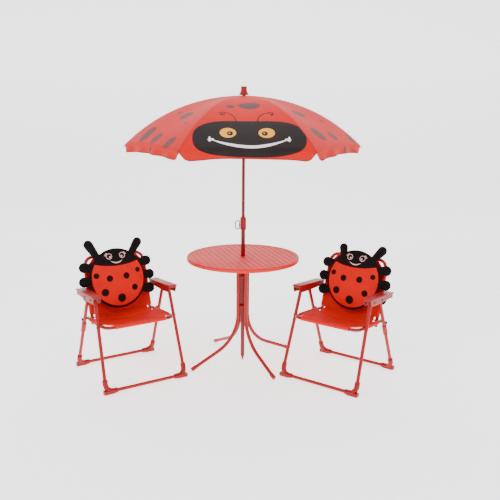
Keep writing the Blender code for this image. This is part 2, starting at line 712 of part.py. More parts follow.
def hoop_path(foot, top, top_x):
    """The U of one pair of legs: up one side from the floor bar, mirrored on the other."""
    over = LEG_END / (top[1] - foot[1])
    end = lerp2(foot, top, 1.0 + over)
    corners = [
        side_point(-leg_x(top_x, 1.0 + over), end),
        side_point(-FOOT_HALF_WIDTH, foot),
        side_point(FOOT_HALF_WIDTH, foot),
        side_point(leg_x(top_x, 1.0 + over), end),
    ]
    return rounded(corners, CORNER_RADIUS, 4)


def cross_pin(profile, x_from, x_to, radius, sides=8):
    return sweep([side_point(x_from, profile), side_point(x_to, profile)], radius, sides)


def mirrored(mesh):
    twin = mesh.copy()
    twin.transform(Matrix.Diagonal((-1.0, 1.0, 1.0, 1.0)))
    twin.flip_normals()
    return twin


def build_leg_frame(name, foot, top, top_x, extras, holes, finish, body, origin):
    """A U-shaped pair of legs with the stubs its armrests turn on, and its two corner boots."""
    hoop = sweep(hoop_path(foot, top, top_x), TUBE_RADIUS, 10)
    reach = ARM_SKIRT_OUT - PART_GAP
    stub = cross_pin(top, ARM_X - reach, ARM_X + reach, PIN_STUB_RADIUS)
    shape = combine(hoop, [stub, mirrored(stub), *extras], "UNION")
    if holes:
        shape = combine(shape, holes, "DIFFERENCE")
    finish_object(name, shape, finish, body, origin)

    boot_finish = (RED_PLASTIC, 0.5, 0.0)
    right = boot(foot, top, top_x)
    left = mirrored(right)
    finish_object(name + "_boot_r", right, boot_finish, body, origin, False)
    finish_object(name + "_boot_l", left, boot_finish, body, origin, False)


def boot_path(foot, top, top_x, rise, run):
    share = rise / math.hypot(top[0] - foot[0], top[1] - foot[1])
    corners = [
        side_point(FOOT_HALF_WIDTH - run, foot),
        side_point(FOOT_HALF_WIDTH, foot),
        side_point(leg_x(top_x, share), lerp2(foot, top, share)),
    ]
    return rounded(corners, CORNER_RADIUS, 4)


def boot(foot, top, top_x):
    """A plastic corner that wraps the bend of the tube and stands flat on the floor."""
    shell = sweep(boot_path(foot, top, top_x, BOOT_RISE, BOOT_RUN), BOOT_WALL_RADIUS, 8)
    toe_side = TUBE_RADIUS + BOOT_TOE_SIDE
    toe_low = (FOOT_HALF_WIDTH - BOOT_TOE_IN, foot[0] - toe_side, -0.002)
    toe_high = (FOOT_HALF_WIDTH + BOOT_TOE_OUT, foot[0] + toe_side, BAR_HEIGHT + BOOT_TOE_HEIGHT)
    shell = combine(shell, [block(toe_low, toe_high)], "UNION")
    long_path = boot_path(foot, top, top_x, BOOT_RISE + 0.02, BOOT_RUN + 0.02)
    tube = sweep(long_path, TUBE_RADIUS + BOOT_GAP, 12)
    floor_low = (FOOT_HALF_WIDTH - 0.10, foot[0] - 0.05, -0.05)
    floor_high = (FOOT_HALF_WIDTH + 0.05, foot[0] + 0.05, 0.0)
    return combine(shell, [tube, block(floor_low, floor_high)], "DIFFERENCE")


def build_armrest(name, x_sign, body, origin):
    """A channel-shaped plastic armrest, open below, deep in front and shallow behind."""
    along = Vector((0, math.cos(SEAT_SLOPE), math.sin(SEAT_SLOPE)))
    up = Vector((0, -math.sin(SEAT_SLOPE), math.cos(SEAT_SLOPE)))
    base = side_point(ARM_X, ARM_PIVOT)
    plate_top = ARM_TOP_ABOVE_PIVOT
    plate_low = plate_top - ARM_PLATE_THICKNESS
    front = -ARM_FRONT_REACH
    rear = ARM_REAR_REACH

    def at(reach, rise):
        return base + along * reach + up * rise

    plate_outline = [
        at(front, plate_low),
        at(front + 0.002, plate_top - 0.001),
        at(front + 0.006, plate_top),
        at(rear - 0.006, plate_top),
        at(rear, plate_top - 0.002),
        at(rear, plate_low),
    ]
    plate = prism(plate_outline, (1, 0, 0), 2 * ARM_HALF_WIDTH, -ARM_HALF_WIDTH)
    over = plate_low + 0.001
    skirt_outline = [
        at(front + 0.004, over),
        at(front + 0.004, plate_low - ARM_NOSE_SKIRT),
        at(front + 0.014, plate_top - ARM_FRONT_SKIRT),
        at(REAR_PIVOT_REACH * 0.35, plate_top - ARM_FRONT_SKIRT),
        at(REAR_PIVOT_REACH + 0.016, plate_top - ARM_FRONT_SKIRT + 0.004),
        at(rear - 0.030, plate_low - ARM_REAR_SKIRT),
        at(rear - 0.003, plate_low - ARM_REAR_SKIRT),
        at(rear - 0.003, over),
    ]
    outer = prism(skirt_outline, (1, 0, 0), ARM_SKIRT_THICKNESS, ARM_SKIRT_IN)
    inner = prism(skirt_outline, (1, 0, 0), ARM_SKIRT_THICKNESS, -ARM_SKIRT_OUT)
    nose_outline = [
        at(front + 0.0045, over),
        at(front + 0.0045, plate_low - ARM_NOSE_SKIRT + 0.004),
        at(front + 0.0075, plate_low - ARM_NOSE_SKIRT + 0.004),
        at(front + 0.0075, over),
    ]
    nose = prism(nose_outline, (1, 0, 0), 2 * ARM_SKIRT_OUT - 0.002, -ARM_SKIRT_OUT + 0.001)
    shape = combine(plate, [outer, inner, nose], "UNION")
    hole = PIN_STUB_RADIUS + RUNNING_GAP
    holes = [
        cross_pin(ARM_PIVOT, ARM_X - HOLE_REACH, ARM_X + HOLE_REACH, hole),
        cross_pin(REAR_PIVOT, ARM_X - HOLE_REACH, ARM_X + HOLE_REACH, hole),
        cross_pin(BACK_PIVOT, ARM_X - HOLE_REACH, ARM_X, hole),
    ]
    shape = combine(shape, holes, "DIFFERENCE")
    if x_sign < 0:
        shape = mirrored(shape)
    finish_object(name, shape, (RED_PLASTIC, 0.45, 0.0), body, origin, False)


def seat_frame_path():
    end = profile_step(ROD_PIVOT, SEAT_SLOPE, SEAT_TUBE_END)
    front = profile_step(SEAT_PIVOT, SEAT_SLOPE, -SEAT_FRONT_REACH)
    return rounded(
        [
            side_point(-SEAT_TUBE_X, end),
            side_point(-SEAT_TUBE_X, front),
            side_point(SEAT_TUBE_X, front),
            side_point(SEAT_TUBE_X, end),
        ],
        CORNER_RADIUS,
        5,
    )


def seat_frame_mesh():
    frame = sweep(seat_frame_path(), TUBE_RADIUS, 10)
    pin_end = SEAT_LEG_X + TUBE_RADIUS + PIN_STUB_END
    pin = cross_pin(SEAT_PIVOT, SEAT_TUBE_X, pin_end, PIN_STUB_RADIUS)
    frame = combine(frame, [pin, mirrored(pin)], "UNION")
    low, high = SEAT_TUBE_X - HOLE_REACH, SEAT_TUBE_X + HOLE_REACH
    hole = cross_pin(ROD_PIVOT, low, high, ROD_RADIUS + RUNNING_GAP)
    return combine(frame, [hole, mirrored(hole)], "DIFFERENCE")


def back_point(x, reach, forward=0.0):
    """A point on the back's plane: reach up along it from the rod, forward of its tubes."""
    c, s = math.cos(BACK_LEAN), math.sin(BACK_LEAN)
    y = ROD_PIVOT[0] + reach * s - forward * c
    z = ROD_PIVOT[1] + reach * c + forward * s
    return Vector((x, y, z))


def back_frame_mesh():
    path = rounded(
        [
            back_point(-BACK_TUBE_X, -BACK_TAIL),
            back_point(-BACK_TUBE_X, BACK_HEIGHT),
            back_point(BACK_TUBE_X, BACK_HEIGHT),
            back_point(BACK_TUBE_X, -BACK_TAIL),
        ],
        BACK_CORNER_RADIUS,
        5,
    )
    frame = sweep(path, TUBE_RADIUS, 10)
    rod = cross_pin(ROD_PIVOT, -ROD_HALF_LENGTH, ROD_HALF_LENGTH, ROD_RADIUS)
    stub_end = ARM_X - ARM_SKIRT_IN + 0.0008
    stub = cross_pin(BACK_PIVOT, BACK_TUBE_X, stub_end, PIN_STUB_RADIUS)
    return combine(frame, [rod, stub, mirrored(stub)], "UNION")


def bracket_mesh():
    """Plastic clip round the rear leg, with a saddle behind it that the rod rests in."""
    ends = []
    for share in (ROD_SHARE - 0.16, ROD_SHARE - 0.035):
        ends.append(side_point(leg_x(REAR_TOP_HALF_WIDTH, share), lerp2(REAR_FOOT, REAR_PIVOT, share)))
    sleeve = sweep(ends, TUBE_RADIUS + SADDLE_SLEEVE, 8)
    leg_rear = lerp2(REAR_FOOT, REAR_PIVOT, ROD_SHARE)[0] + TUBE_RADIUS - 0.001
    room = ROD_RADIUS + BOOT_GAP
    hook = block(
        (ROD_LEG_X - SADDLE_HALF_WIDTH, leg_rear, ROD_PIVOT[1] - SADDLE_WALL - room - 0.020),
        (ROD_LEG_X + SADDLE_HALF_WIDTH, ROD_PIVOT[0] + room + 0.0035, ROD_PIVOT[1] + 0.004),
    )
    slot = block(
        (ROD_LEG_X - 0.02, ROD_PIVOT[0] - room, ROD_PIVOT[1] - room),
        (ROD_LEG_X + 0.02, ROD_PIVOT[0] + room, ROD_PIVOT[1] + 0.05),
    )
    return combine(combine(sleeve, [hook], "UNION"), [slot], "DIFFERENCE")


def sling(points, tube_x, sleeve_from, sleeve_to, sag, half_width):
    """Cloth panel through the rows of points, with a sleeve round the tube at each side."""
    across = 6
    rings = []
    for centre, normal in points:
        top = []
        bottom = []
        for i in range(across + 1):
            share = -1 + 2 * i / across
            drop = sag * (1 - share**2)
            point = Vector((half_width * share, 0, 0)) + centre - normal * drop
            top.append(point + normal * SLING_THICKNESS / 2)
            bottom.append(point - normal * SLING_THICKNESS / 2)
        rings.append(top + bottom[::-1])
    panel = loft(rings)
    sleeves = []
    bores = []
    step = (sleeve_to - sleeve_from) * 0.1
    for sign in (-1, 1):
        shift = Vector((sign * tube_x, 0, 0))
        sleeves.append(sweep([sleeve_from + shift, sleeve_to + shift], SLEEVE_RADIUS, 12))
        long_ends = [sleeve_from - step + shift, sleeve_to + step + shift]
        bores.append(sweep(long_ends, TUBE_RADIUS + PART_GAP, 12))
    shape = combine(panel, sleeves, "UNION")
    return combine(shape, bores, "DIFFERENCE")


def seat_sling_mesh():
    up = Vector((0, -math.sin(SEAT_SLOPE), math.cos(SEAT_SLOPE)))
    rear = SEAT_LENGTH - SEAT_SLING_REAR
    count = 6
    rows = []
    for i in range(count + 1):
        reach = -SLING_FRONT_REACH + (rear + SLING_FRONT_REACH) * i / count
        rows.append((side_point(0, profile_step(SEAT_PIVOT, SEAT_SLOPE, reach)), up))
    start = side_point(0, profile_step(SEAT_PIVOT, SEAT_SLOPE, 0.0135))
    end = side_point(0, profile_step(SEAT_PIVOT, SEAT_SLOPE, rear))
    half_width = SEAT_TUBE_X - TUBE_RADIUS - SLING_SIDE_GAP
    shape = sling(rows, SEAT_TUBE_X, start, end, SEAT_SAG, half_width)
    tube_room = sweep(seat_frame_path(), TUBE_RADIUS + BOOT_GAP, 12)
    return combine(shape, [tube_room], "DIFFERENCE")


def back_sling_mesh():
    out = Vector((0, -math.cos(BACK_LEAN), math.sin(BACK_LEAN)))
    top = BACK_HEIGHT - BACK_SLING_TOP
    count = 5
    rows = []
    for i in range(count + 1):
        reach = BACK_SLING_LOW + (top - BACK_SLING_LOW) * i / count
        rows.append((back_point(0, reach), out))
    sleeve_low = back_point(0, BACK_SLING_LOW + 0.004)
    sleeve_top = back_point(0, top - 0.016)
    half_width = BACK_TUBE_X - TUBE_RADIUS - SLING_SIDE_GAP
    shape = sling(rows, BACK_TUBE_X, sleeve_low, sleeve_top, BACK_SAG, half_width)
    notch_radius = PIN_STUB_RADIUS + 3 * RUNNING_GAP
    notch = cross_pin(BACK_PIVOT, BACK_TUBE_X, BACK_TUBE_X + HOLE_REACH, notch_radius)
    return combine(shape, [notch, mirrored(notch)], "DIFFERENCE")


def cushion_mesh():
    """Plump beetle-shaped pillow: an oval body with two feelers and six feet sewn to its edge."""
    c, s = math.cos(BACK_LEAN), math.sin(BACK_LEAN)
    upward = Vector((0, s, c))
    outward = Vector((0, -c, s))
    lift = TUBE_RADIUS + SLEEVE_RADIUS * 0.25 + CUSHION_THICKNESS / 2
    centre = back_point(0, CUSHION_CENTRE_UP, lift)
    builder = bmesh.new()
    bmesh.ops.create_uvsphere(builder, u_segments=20, v_segments=10, radius=1.0)
    body = mesh_from(builder)
    place = Matrix(
        (
            (1, 0, 0, centre.x),
            (0, upward.y, outward.y, centre.y),
            (0, upward.z, outward.z, centre.z),
            (0, 0, 0, 1),
        )
    )
    scale = (CUSHION_HALF_WIDTH, CUSHION_HALF_HEIGHT, CUSHION_THICKNESS / 2, 1.0)
    body.transform(place @ Matrix.Diagonal(scale))
    additions = []
    for sign in (-1, 1):
        feeler = [(0.055, 0.100), (0.070, 0.126), (0.086, 0.145), (0.105, 0.158)]
        path = [place @ Vector((sign * x, y, 0)) for x, y in feeler]
        additions.append(sweep(path, 0.010, 8, [0.010, 0.0105, 0.0115, 0.0125]))
        for turn in (28, -4, -36):
            c_turn, s_turn = math.cos(math.radians(turn)), math.sin(math.radians(turn))
            foot = []
            for reach, size in ((0.80, 0.009), (1.0, 0.012), (1.10, 0.012), (1.14, 0.007)):
                x = sign * CUSHION_HALF_WIDTH * c_turn * reach
                y = CUSHION_HALF_HEIGHT * s_turn * reach
                foot.append((place @ Vector((x, y, 0)), size))
            additions.append(sweep([p for p, _ in foot], 0.01, 8, [r for _, r in foot]))
    return combine(body, additions, "UNION")


def build_chair(name, place, turn, root):
    paint = (RED_PAINT, 0.35, 0.2)
    cloth = (RED_CLOTH, 0.8, 0.0)
    base = make_empty(name + "_base", (place[0], place[1], 0), root, turn)
    low, high = SEAT_LEG_X - HOLE_REACH, SEAT_LEG_X + HOLE_REACH
    seat_pin_hole = cross_pin(SEAT_PIVOT, low, high, PIN_STUB_RADIUS + RUNNING_GAP)
    build_leg_frame(
        name + "_front_legs",
        FRONT_FOOT,
        ARM_PIVOT,
        FRONT_TOP_HALF_WIDTH,
        [],
        [seat_pin_hole, mirrored(seat_pin_hole)],
        paint,
        base,
        (0, 0, 0),
    )
    seat_origin = side_point(0, SEAT_PIVOT)
    seat = make_empty(name + "_seat_body", seat_origin, base)
    finish_object(name + "_seat_frame", seat_frame_mesh(), paint, seat, seat_origin)
    finish_object(name + "_seat_sling", seat_sling_mesh(), cloth, seat, seat_origin)

    back_origin = side_point(0, ROD_PIVOT)
    back = make_empty(name + "_back_body", back_origin - seat_origin, seat)
    finish_object(name + "_back_frame", back_frame_mesh(), paint, back, back_origin)
    finish_object(name + "_back_sling", back_sling_mesh(), cloth, back, back_origin)
    finish_object(name + "_cushion", cushion_mesh(), (PLUSH, 0.9, 0.0), back, back_origin)

    arm_origin = side_point(0, ARM_PIVOT)
    arms = make_empty(name + "_arms_body", arm_origin, base)
    build_armrest(name + "_armrest_r", 1, arms, arm_origin)
    build_armrest(name + "_armrest_l", -1, arms, arm_origin)

    rear_origin = side_point(0, REAR_PIVOT)
    rear = make_empty(name + "_rear_body", rear_origin - arm_origin, arms)
    bracket = bracket_mesh()
    build_leg_frame(
        name + "_rear_legs",
        REAR_FOOT,
        REAR_PIVOT,
        REAR_TOP_HALF_WIDTH,
        [bracket, mirrored(bracket)],
        [],
        paint,
        rear,
        rear_origin,
    )


def main():
    for obj in list(bpy.data.objects):
        bpy.data.objects.remove(obj, do_unlink=True)
    root = make_empty("set", (TABLE_X, TABLE_Y, 0))
    build_table(root)
    build_parasol(root)
    for name, place, turn in CHAIRS:
        build_chair(name, place, turn, root)


main()
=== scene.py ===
import json
import math

import bmesh
import bpy
from mathutils import Matrix, Vector, noise


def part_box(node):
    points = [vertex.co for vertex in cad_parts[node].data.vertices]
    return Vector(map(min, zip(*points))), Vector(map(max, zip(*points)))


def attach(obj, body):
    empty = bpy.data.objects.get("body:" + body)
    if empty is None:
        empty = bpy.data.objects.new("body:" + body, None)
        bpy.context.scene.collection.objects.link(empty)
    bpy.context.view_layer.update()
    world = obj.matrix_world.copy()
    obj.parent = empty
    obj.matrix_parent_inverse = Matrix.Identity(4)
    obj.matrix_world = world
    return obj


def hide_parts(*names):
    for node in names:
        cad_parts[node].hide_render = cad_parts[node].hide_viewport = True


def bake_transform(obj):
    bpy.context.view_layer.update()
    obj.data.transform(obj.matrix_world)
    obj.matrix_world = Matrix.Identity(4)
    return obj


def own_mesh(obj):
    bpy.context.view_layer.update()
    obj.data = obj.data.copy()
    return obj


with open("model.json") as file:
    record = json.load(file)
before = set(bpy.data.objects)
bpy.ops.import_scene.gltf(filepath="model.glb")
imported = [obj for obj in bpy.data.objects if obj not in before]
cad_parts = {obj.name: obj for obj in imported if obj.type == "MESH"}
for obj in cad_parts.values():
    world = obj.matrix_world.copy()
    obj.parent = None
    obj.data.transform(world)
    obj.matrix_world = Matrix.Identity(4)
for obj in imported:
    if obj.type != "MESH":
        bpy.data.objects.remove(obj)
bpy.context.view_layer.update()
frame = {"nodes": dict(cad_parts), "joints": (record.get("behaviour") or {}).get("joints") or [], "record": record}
joints = {joint["name"]: joint for joint in frame["joints"]}
nodes = frame["nodes"]

# ---- sizes, in metres

# Canopy: the same cap as the CAD's, about the pole.
CANOPY_A = 0.661
CANOPY_B = 0.548
CLOTH_START = 0.0198
RIM_RADIUS = 0.508
RIB_COUNT = 6
HALF_PANEL = math.pi / RIB_COUNT
VALANCE_DROP = 0.038
EDGE_ARCH = 0.015
VALANCE_CORNER = 0.040
NOTCH_HALF = 0.007
HOLLOW = 0.0065
RIPPLE = 0.0016
HEM_WIDTH = 0.0026
JOIN_WIDTH = 0.0042
GORE_COLUMNS = 48
GORE_ROWS = 40
FLAP_ROWS = 9
# The flap's waves: radians for each metre along it and for each radian round, and their reach.
FLAP_WAVES = ((47, 3, 0.0052), (21, 5, 0.0044))

# Table top: pressed slats inside a raised round rim.
SLAT_PITCH = 0.0255
GROOVE_WIDTH = 0.0052
GROOVE_DEPTH = 0.0013
SLAT_TURN = math.radians(17)
RIM_BAND = 0.011
RIM_RISE = 0.0012
TOP_HOLE = 0.0112
# Across a groove: how far from its middle, in groove widths, and what share of the depth.
GROOVE_STEPS = ((-0.5, 0.0), (-0.28, 0.75), (0.0, 1.0), (0.28, 0.75), (0.5, 0.0))

# Chairs
TUBE = 0.0075
BACK_LEAN = math.radians(16.6)
SLING_SHEET = 0.0011
SLING_LIFT = 0.0013
SLEEVE = 0.0098
SLING_COLUMNS = 36
SLING_ROWS = 24
SLEEVE_ROWS = 22
SLEEVE_STEPS = 14
SLEEVE_STEP = 0.0026
PILLOW_HALF = (0.124, 0.128)
PILLOW_UP = 0.157
CUSHION_UP = 0.147
PRINT_SHIFT = PILLOW_UP - CUSHION_UP
PILLOW_OUT = 0.0345
PILLOW_START = 0.015
PIPING = 0.0038
# Each cushion's feelers: root, tip and the radii there, from the cushion's middle.
FEELERS = {
    "chair_left": (
        ((-0.074, 0.088), (-0.121, 0.176), (0.0130, 0.0205)),
        ((0.068, 0.090), (0.126, 0.166), (0.0130, 0.0200)),
    ),
    "chair_right": (
        ((-0.066, 0.092), (-0.080, 0.154), (0.0130, 0.0190)),
        ((0.068, 0.090), (0.122, 0.160), (0.0130, 0.0200)),
    ),
}
# The three feet of each side: height of the root, then reach and height of the tip.
FEET = ((0.056, 0.166, 0.064), (0.000, 0.174, -0.001), (-0.057, 0.166, -0.067))

RED_PAINT = (0.35, 0.0012, 0.0010)
# The pole's powder coat is darker than the frame's: painted shade for the shadow that the canopy and the tubes
# around it cast on the pole.
POLE_PAINTED_SHADE = (0.20, 0.0010, 0.0010)
RED_PLASTIC = (0.31, 0.0010, 0.0012)
TOP_PAINT = (0.72, 0.008, 0.005)
CLOTH_RED = (0.78, 0.006, 0.003)
CANOPY_RED = (0.66, 0.009, 0.007)
PLUSH_RED = (0.72, 0.002, 0.001)
PLUSH_BLACK = (0.006, 0.004, 0.004)
SPOT_GREY = (0.060, 0.050, 0.052)
STEEL = (0.32, 0.30, 0.30)
DARK_STEEL = (0.05, 0.045, 0.045)


# ---- materials


class Shader:
    """A Principled material built up from a few small node helpers."""

    def __init__(self, name, roughness, metallic=0.0):
        self.material = bpy.data.materials.new(name)
        self.material.use_nodes = True
        self.tree = self.material.node_tree
        self.surface = self.tree.nodes["Principled BSDF"]
        self.surface.inputs["Metallic"].default_value = metallic
        self.surface.inputs["Roughness"].default_value = roughness

    def node(self, kind):
        return self.tree.nodes.new(kind)

    def feed(self, socket, value):
        if hasattr(value, "is_output"):
            self.tree.links.new(value, socket)
        else:
            socket.default_value = value

    def calc(self, operation, first, second=0.0, clamp=False):
        node = self.node("ShaderNodeMath")
        node.operation = operation
        node.use_clamp = clamp
        self.feed(node.inputs[0], first)
        self.feed(node.inputs[1], second)
        return node.outputs[0]

    def times(self, first, second):
        return self.calc("MULTIPLY", first, second)

    def mix(self, share, first, second):
        node = self.node("ShaderNodeMix")
        node.data_type = "RGBA"
        self.feed(node.inputs["Factor"], share)
        for socket, colour in ((node.inputs[6], first), (node.inputs[7], second)):
            self.feed(socket, colour if hasattr(colour, "is_output") else (*colour, 1.0))
        return node.outputs[2]

    def above(self, high, low, sharp):
        """1 where high is over low and 0 where it is under, with an edge as steep as sharp."""
        return self.calc("MULTIPLY", self.calc("SUBTRACT", high, low), sharp, clamp=True)

    def over(self, mask, share, tone, colour):
        """Lay that share of a colour over the tone where the mask is 1."""
        return self.mix(self.times(mask, share), tone, colour)

    def position(self):
        return self.node("ShaderNodeTexCoord").outputs["Object"]

    def uv(self, layer):
        """The two values of a UV layer, which here are distances on the cloth in metres."""
        node = self.node("ShaderNodeUVMap")
        node.uv_map = layer
        split = self.node("ShaderNodeSeparateXYZ")
        self.tree.links.new(node.outputs[0], split.inputs[0])
        return node.outputs[0], split.outputs[0], split.outputs[1]

    def noise(self, vector, scale, detail=2.0, roughness=0.5):
        node = self.node("ShaderNodeTexNoise")
        self.tree.links.new(vector, node.inputs["Vector"])
        node.inputs["Scale"].default_value = scale
        node.inputs["Detail"].default_value = detail
        node.inputs["Roughness"].default_value = roughness
        return node.outputs[0]

    def spread(self, value, low, high):
        """Take a 0 to 1 value to low to high."""
        node = self.node("ShaderNodeMapRange")
        self.tree.links.new(value, node.inputs[0])
        node.inputs[3].default_value = low
        node.inputs[4].default_value = high
        return node.outputs[0]

    def bump(self, height, distance, strength=1.0):
        node = self.node("ShaderNodeBump")
        node.inputs["Strength"].default_value = strength
        node.inputs["Distance"].default_value = distance
        self.tree.links.new(height, node.inputs["Height"])
        self.tree.links.new(node.outputs[0], self.surface.inputs["Normal"])

    def ellipse(self, x, y, centre, half, sharp=18.0, power=2.0):
        """1 inside an ellipse, or a rounder box with a higher power, and 0 outside."""
        terms = []
        for value, middle, size in ((x, centre[0], half[0]), (y, centre[1], half[1])):
            off = self.calc("ABSOLUTE", self.calc("SUBTRACT", value, middle))
            terms.append(self.calc("POWER", self.calc("DIVIDE", off, size), power))
        return self.above(1.0, self.calc("ADD", *terms), sharp)

    def arc(self, x, y, centre, radius, width, low, high):
        """1 on a stroke along a circle, where its angle lies from low to high, in radians."""
        dx = self.calc("SUBTRACT", x, centre[0])
        dy = self.calc("SUBTRACT", y, centre[1])
        squares = self.calc("ADD", self.times(dx, dx), self.times(dy, dy))
        off = self.calc("ABSOLUTE", self.calc("SUBTRACT", self.calc("SQRT", squares), radius))
        stroke = self.above(width / 2, off, 2500.0)
        angle = self.calc("ARCTAN2", dy, dx)
        after = self.calc("GREATER_THAN", angle, low)
        before = self.calc("LESS_THAN", angle, high)
        return self.times(stroke, self.times(after, before))

    def stroke(self, x, y, top, bend, reach, width):
        """1 on a curved line: a parabola through top with that bend, as far out as reach."""
        dx = self.calc("SUBTRACT", x, top[0])
        squared = self.times(dx, dx)
        line = self.calc("ADD", top[1], self.times(squared, bend))
        off = self.calc("ABSOLUTE", self.calc("SUBTRACT", y, line))
        share = self.calc("DIVIDE", self.calc("ABSOLUTE", dx), reach)
        room = self.calc("SUBTRACT", 1.0, self.calc("POWER", share, 3.0))
        half = self.times(room, width / 2)
        return self.above(half, off, 1500.0)

    def either(self, masks):
        total = masks[0]
        for mask in masks[1:]:
            total = self.calc("MAXIMUM", total, mask)
        return total

    def colour(self, value):
        self.tree.links.new(value, self.surface.inputs["Base Color"])

    def roughness(self, value):
        self.tree.links.new(value, self.surface.inputs["Roughness"])

    def shine(self, level):
        self.surface.inputs["Specular IOR Level"].default_value = level


def shade(colour, share, lift=0.0):
    return tuple(min(1.0, c * share + lift) for c in colour)


def painted_steel(name, colour, roughness=0.32, shine=0.35):
    """Satin powder coat: faint orange peel, cloudy tone, duller where hands rub it."""
    shader = Shader(name, roughness)
    place = shader.position()
    cloud = shader.noise(place, 9.0, 3.0)
    shader.colour(shader.mix(cloud, shade(colour, 0.86), shade(colour, 1.14, 0.004)))
    rub = shader.noise(place, 38.0, 4.0, 0.65)
    shader.roughness(shader.spread(rub, roughness - 0.08, roughness + 0.16))
    shader.shine(shine)
    shader.bump(shader.noise(place, 750.0, 2.0), 0.00012, 0.5)
    return shader.material


def moulded_plastic(name, colour, roughness=0.42):
    """Injection-moulded plastic with a fine spark grain and a slight mottle."""
    shader = Shader(name, roughness)
    place = shader.position()
    mottle = shader.noise(place, 16.0, 3.0)
    shader.colour(shader.mix(mottle, shade(colour, 0.88), shade(colour, 1.12, 0.004)))
    grain = shader.noise(place, 1500.0, 2.0, 0.6)
    shader.shine(0.35)
    shader.roughness(shader.spread(grain, roughness - 0.08, roughness + 0.14))
    shader.bump(grain, 0.00015, 0.6)
    return shader.material


def drawn_wire(name, colour, roughness=0.34):
    """Bright wire with dull specks."""
    shader = Shader(name, roughness, 1.0)
    place = shader.position()
    specks = shader.noise(place, 420.0, 5.0, 0.7)
    shader.colour(shader.mix(specks, shade(colour, 0.6), colour))
    shader.roughness(shader.spread(specks, roughness - 0.1, roughness + 0.2))
    shader.bump(specks, 0.0001, 0.4)
    return shader.material


def weave(shader, along, across, pitch):
    """0 to 1 height of a plain weave whose threads are pitch apart."""
    turns = 2 * math.pi / pitch
    warp = shader.calc("SINE", shader.times(along, turns))
    weft = shader.calc("SINE", shader.times(across, turns))
    crossed = shader.times(warp, weft)
    return shader.calc("ADD", shader.times(crossed, 0.5), 0.5)


def stitches(shader, layer, inset, width, pitch):
    """1 on a dashed row of stitches inset from the seam, and the distance from that seam."""
    _, from_seam, along = shader.uv(layer)
    off = shader.calc("ABSOLUTE", shader.calc("SUBTRACT", from_seam, inset))
    row = shader.above(width / 2, off, 4000.0)
    beat = shader.calc("SINE", shader.times(along, 2 * math.pi / pitch))
    return shader.times(row, shader.calc("GREATER_THAN", beat, -0.35)), from_seam


def sling_cloth():
    """Coarse plain-woven polyester with a lock-stitched sleeve down each side."""
    shader = Shader("sling_weave", 0.62)
    place, along, across = shader.uv("flat")
    threads = weave(shader, along, across, 0.0016)
    cloud = shader.noise(place, 14.0, 3.0)
    tone = shader.mix(cloud, shade(CLOTH_RED, 0.88), CLOTH_RED)
    tone = shader.mix(shader.spread(threads, 0.0, 0.20), tone, (0.38, 0.012, 0.010))
    sewn, _ = stitches(shader, "seam", 0.004, 0.0012, 0.0042)
    shader.colour(shader.mix(sewn, tone, (0.95, 0.16, 0.11)))
    shader.shine(0.15)
    height = shader.calc("ADD", threads, shader.times(sewn, -1.5))
    shader.bump(height, 0.00035, 0.7)
    return shader.material


def canopy_cloth(name, artwork):
    """Thin polyester that lets light through, printed by artwork(shader, x, y, colour)."""
    shader = Shader(name, 0.50)
    place, across, down = shader.uv("flat")
    cloud = shader.noise(place, 7.0, 4.0)
    tone = shader.mix(cloud, shade(CANOPY_RED, 0.93), CANOPY_RED)
    sewn, from_seam = stitches(shader, "seam", 0.0045, 0.0012, 0.005)
    hem = shader.above(HEM_WIDTH, from_seam, 2500.0)
    join = shader.above(JOIN_WIDTH, from_seam, 1500.0)
    tone = shader.over(join, 0.35, tone, (0.30, 0.004, 0.004))
    tone = shader.over(hem, 0.85, tone, (0.16, 0.004, 0.004))
    tone = artwork(shader, across, down, tone)
    tone = shader.over(sewn, 0.55, tone, (0.50, 0.030, 0.026))
    shader.colour(tone)
    threads = weave(shader, across, down, 0.0009)
    shader.shine(0.15)
    fine = shader.times(threads, 0.12)
    crumple = shader.times(shader.noise(place, 26.0, 4.0, 0.6), 2.4)
    shader.bump(shader.calc("ADD", fine, crumple), 0.0010, 0.45)
    glow = shader.node("ShaderNodeBsdfTranslucent")
    blend = shader.node("ShaderNodeMixShader")
    blend.inputs[0].default_value = 0.30
    output = shader.tree.nodes["Material Output"]
    for source, socket in (
        (tone, glow.inputs["Color"]),
        (shader.surface.outputs[0], blend.inputs[1]),
        (glow.outputs[0], blend.inputs[2]),
        (blend.outputs[0], output.inputs["Surface"]),
    ):
        shader.tree.links.new(source, socket)
    return shader.material


def spots(places):
    """Artwork of oval spots: metres across and down from the crown, half sizes, darkness."""

    def paint(shader, x, y, tone):
        for across, down, wide, high, dark in places:
            mask = shader.ellipse(x, y, (across, down), (wide, high), 10.0)
            tone = shader.over(mask, dark, tone, SPOT_GREY)
        return tone

    return paint


LEFT_SPOTS = (
    (0.017, 0.281, 0.037, 0.026, 0.86),
    (-0.068, 0.268, 0.014, 0.010, 0.8),
    (0.102, 0.328, 0.014, 0.011, 0.7),
    (-0.107, 0.398, 0.036, 0.038, 0.86),
    (0.005, 0.410, 0.029, 0.026, 0.84),
    (0.141, 0.420, 0.028, 0.026, 0.84),
    (0.016, 0.462, 0.013, 0.014, 1.0),
)
RIGHT_SPOTS = (
    (-0.027, 0.263, 0.039, 0.026, 0.86),
    (0.089, 0.320, 0.014, 0.010, 0.8),
    (-0.100, 0.381, 0.037, 0.033, 0.86),
    (0.015, 0.397, 0.027, 0.022, 0.82),
    (0.186, 0.416, 0.024, 0.020, 0.84),
    (0.046, 0.460, 0.013, 0.014, 1.0),
)
FACE_SPOTS = ((-0.061, 0.211, 0.018, 0.013, 0.92), (0.014, 0.197, 0.044, 0.030, 0.92))


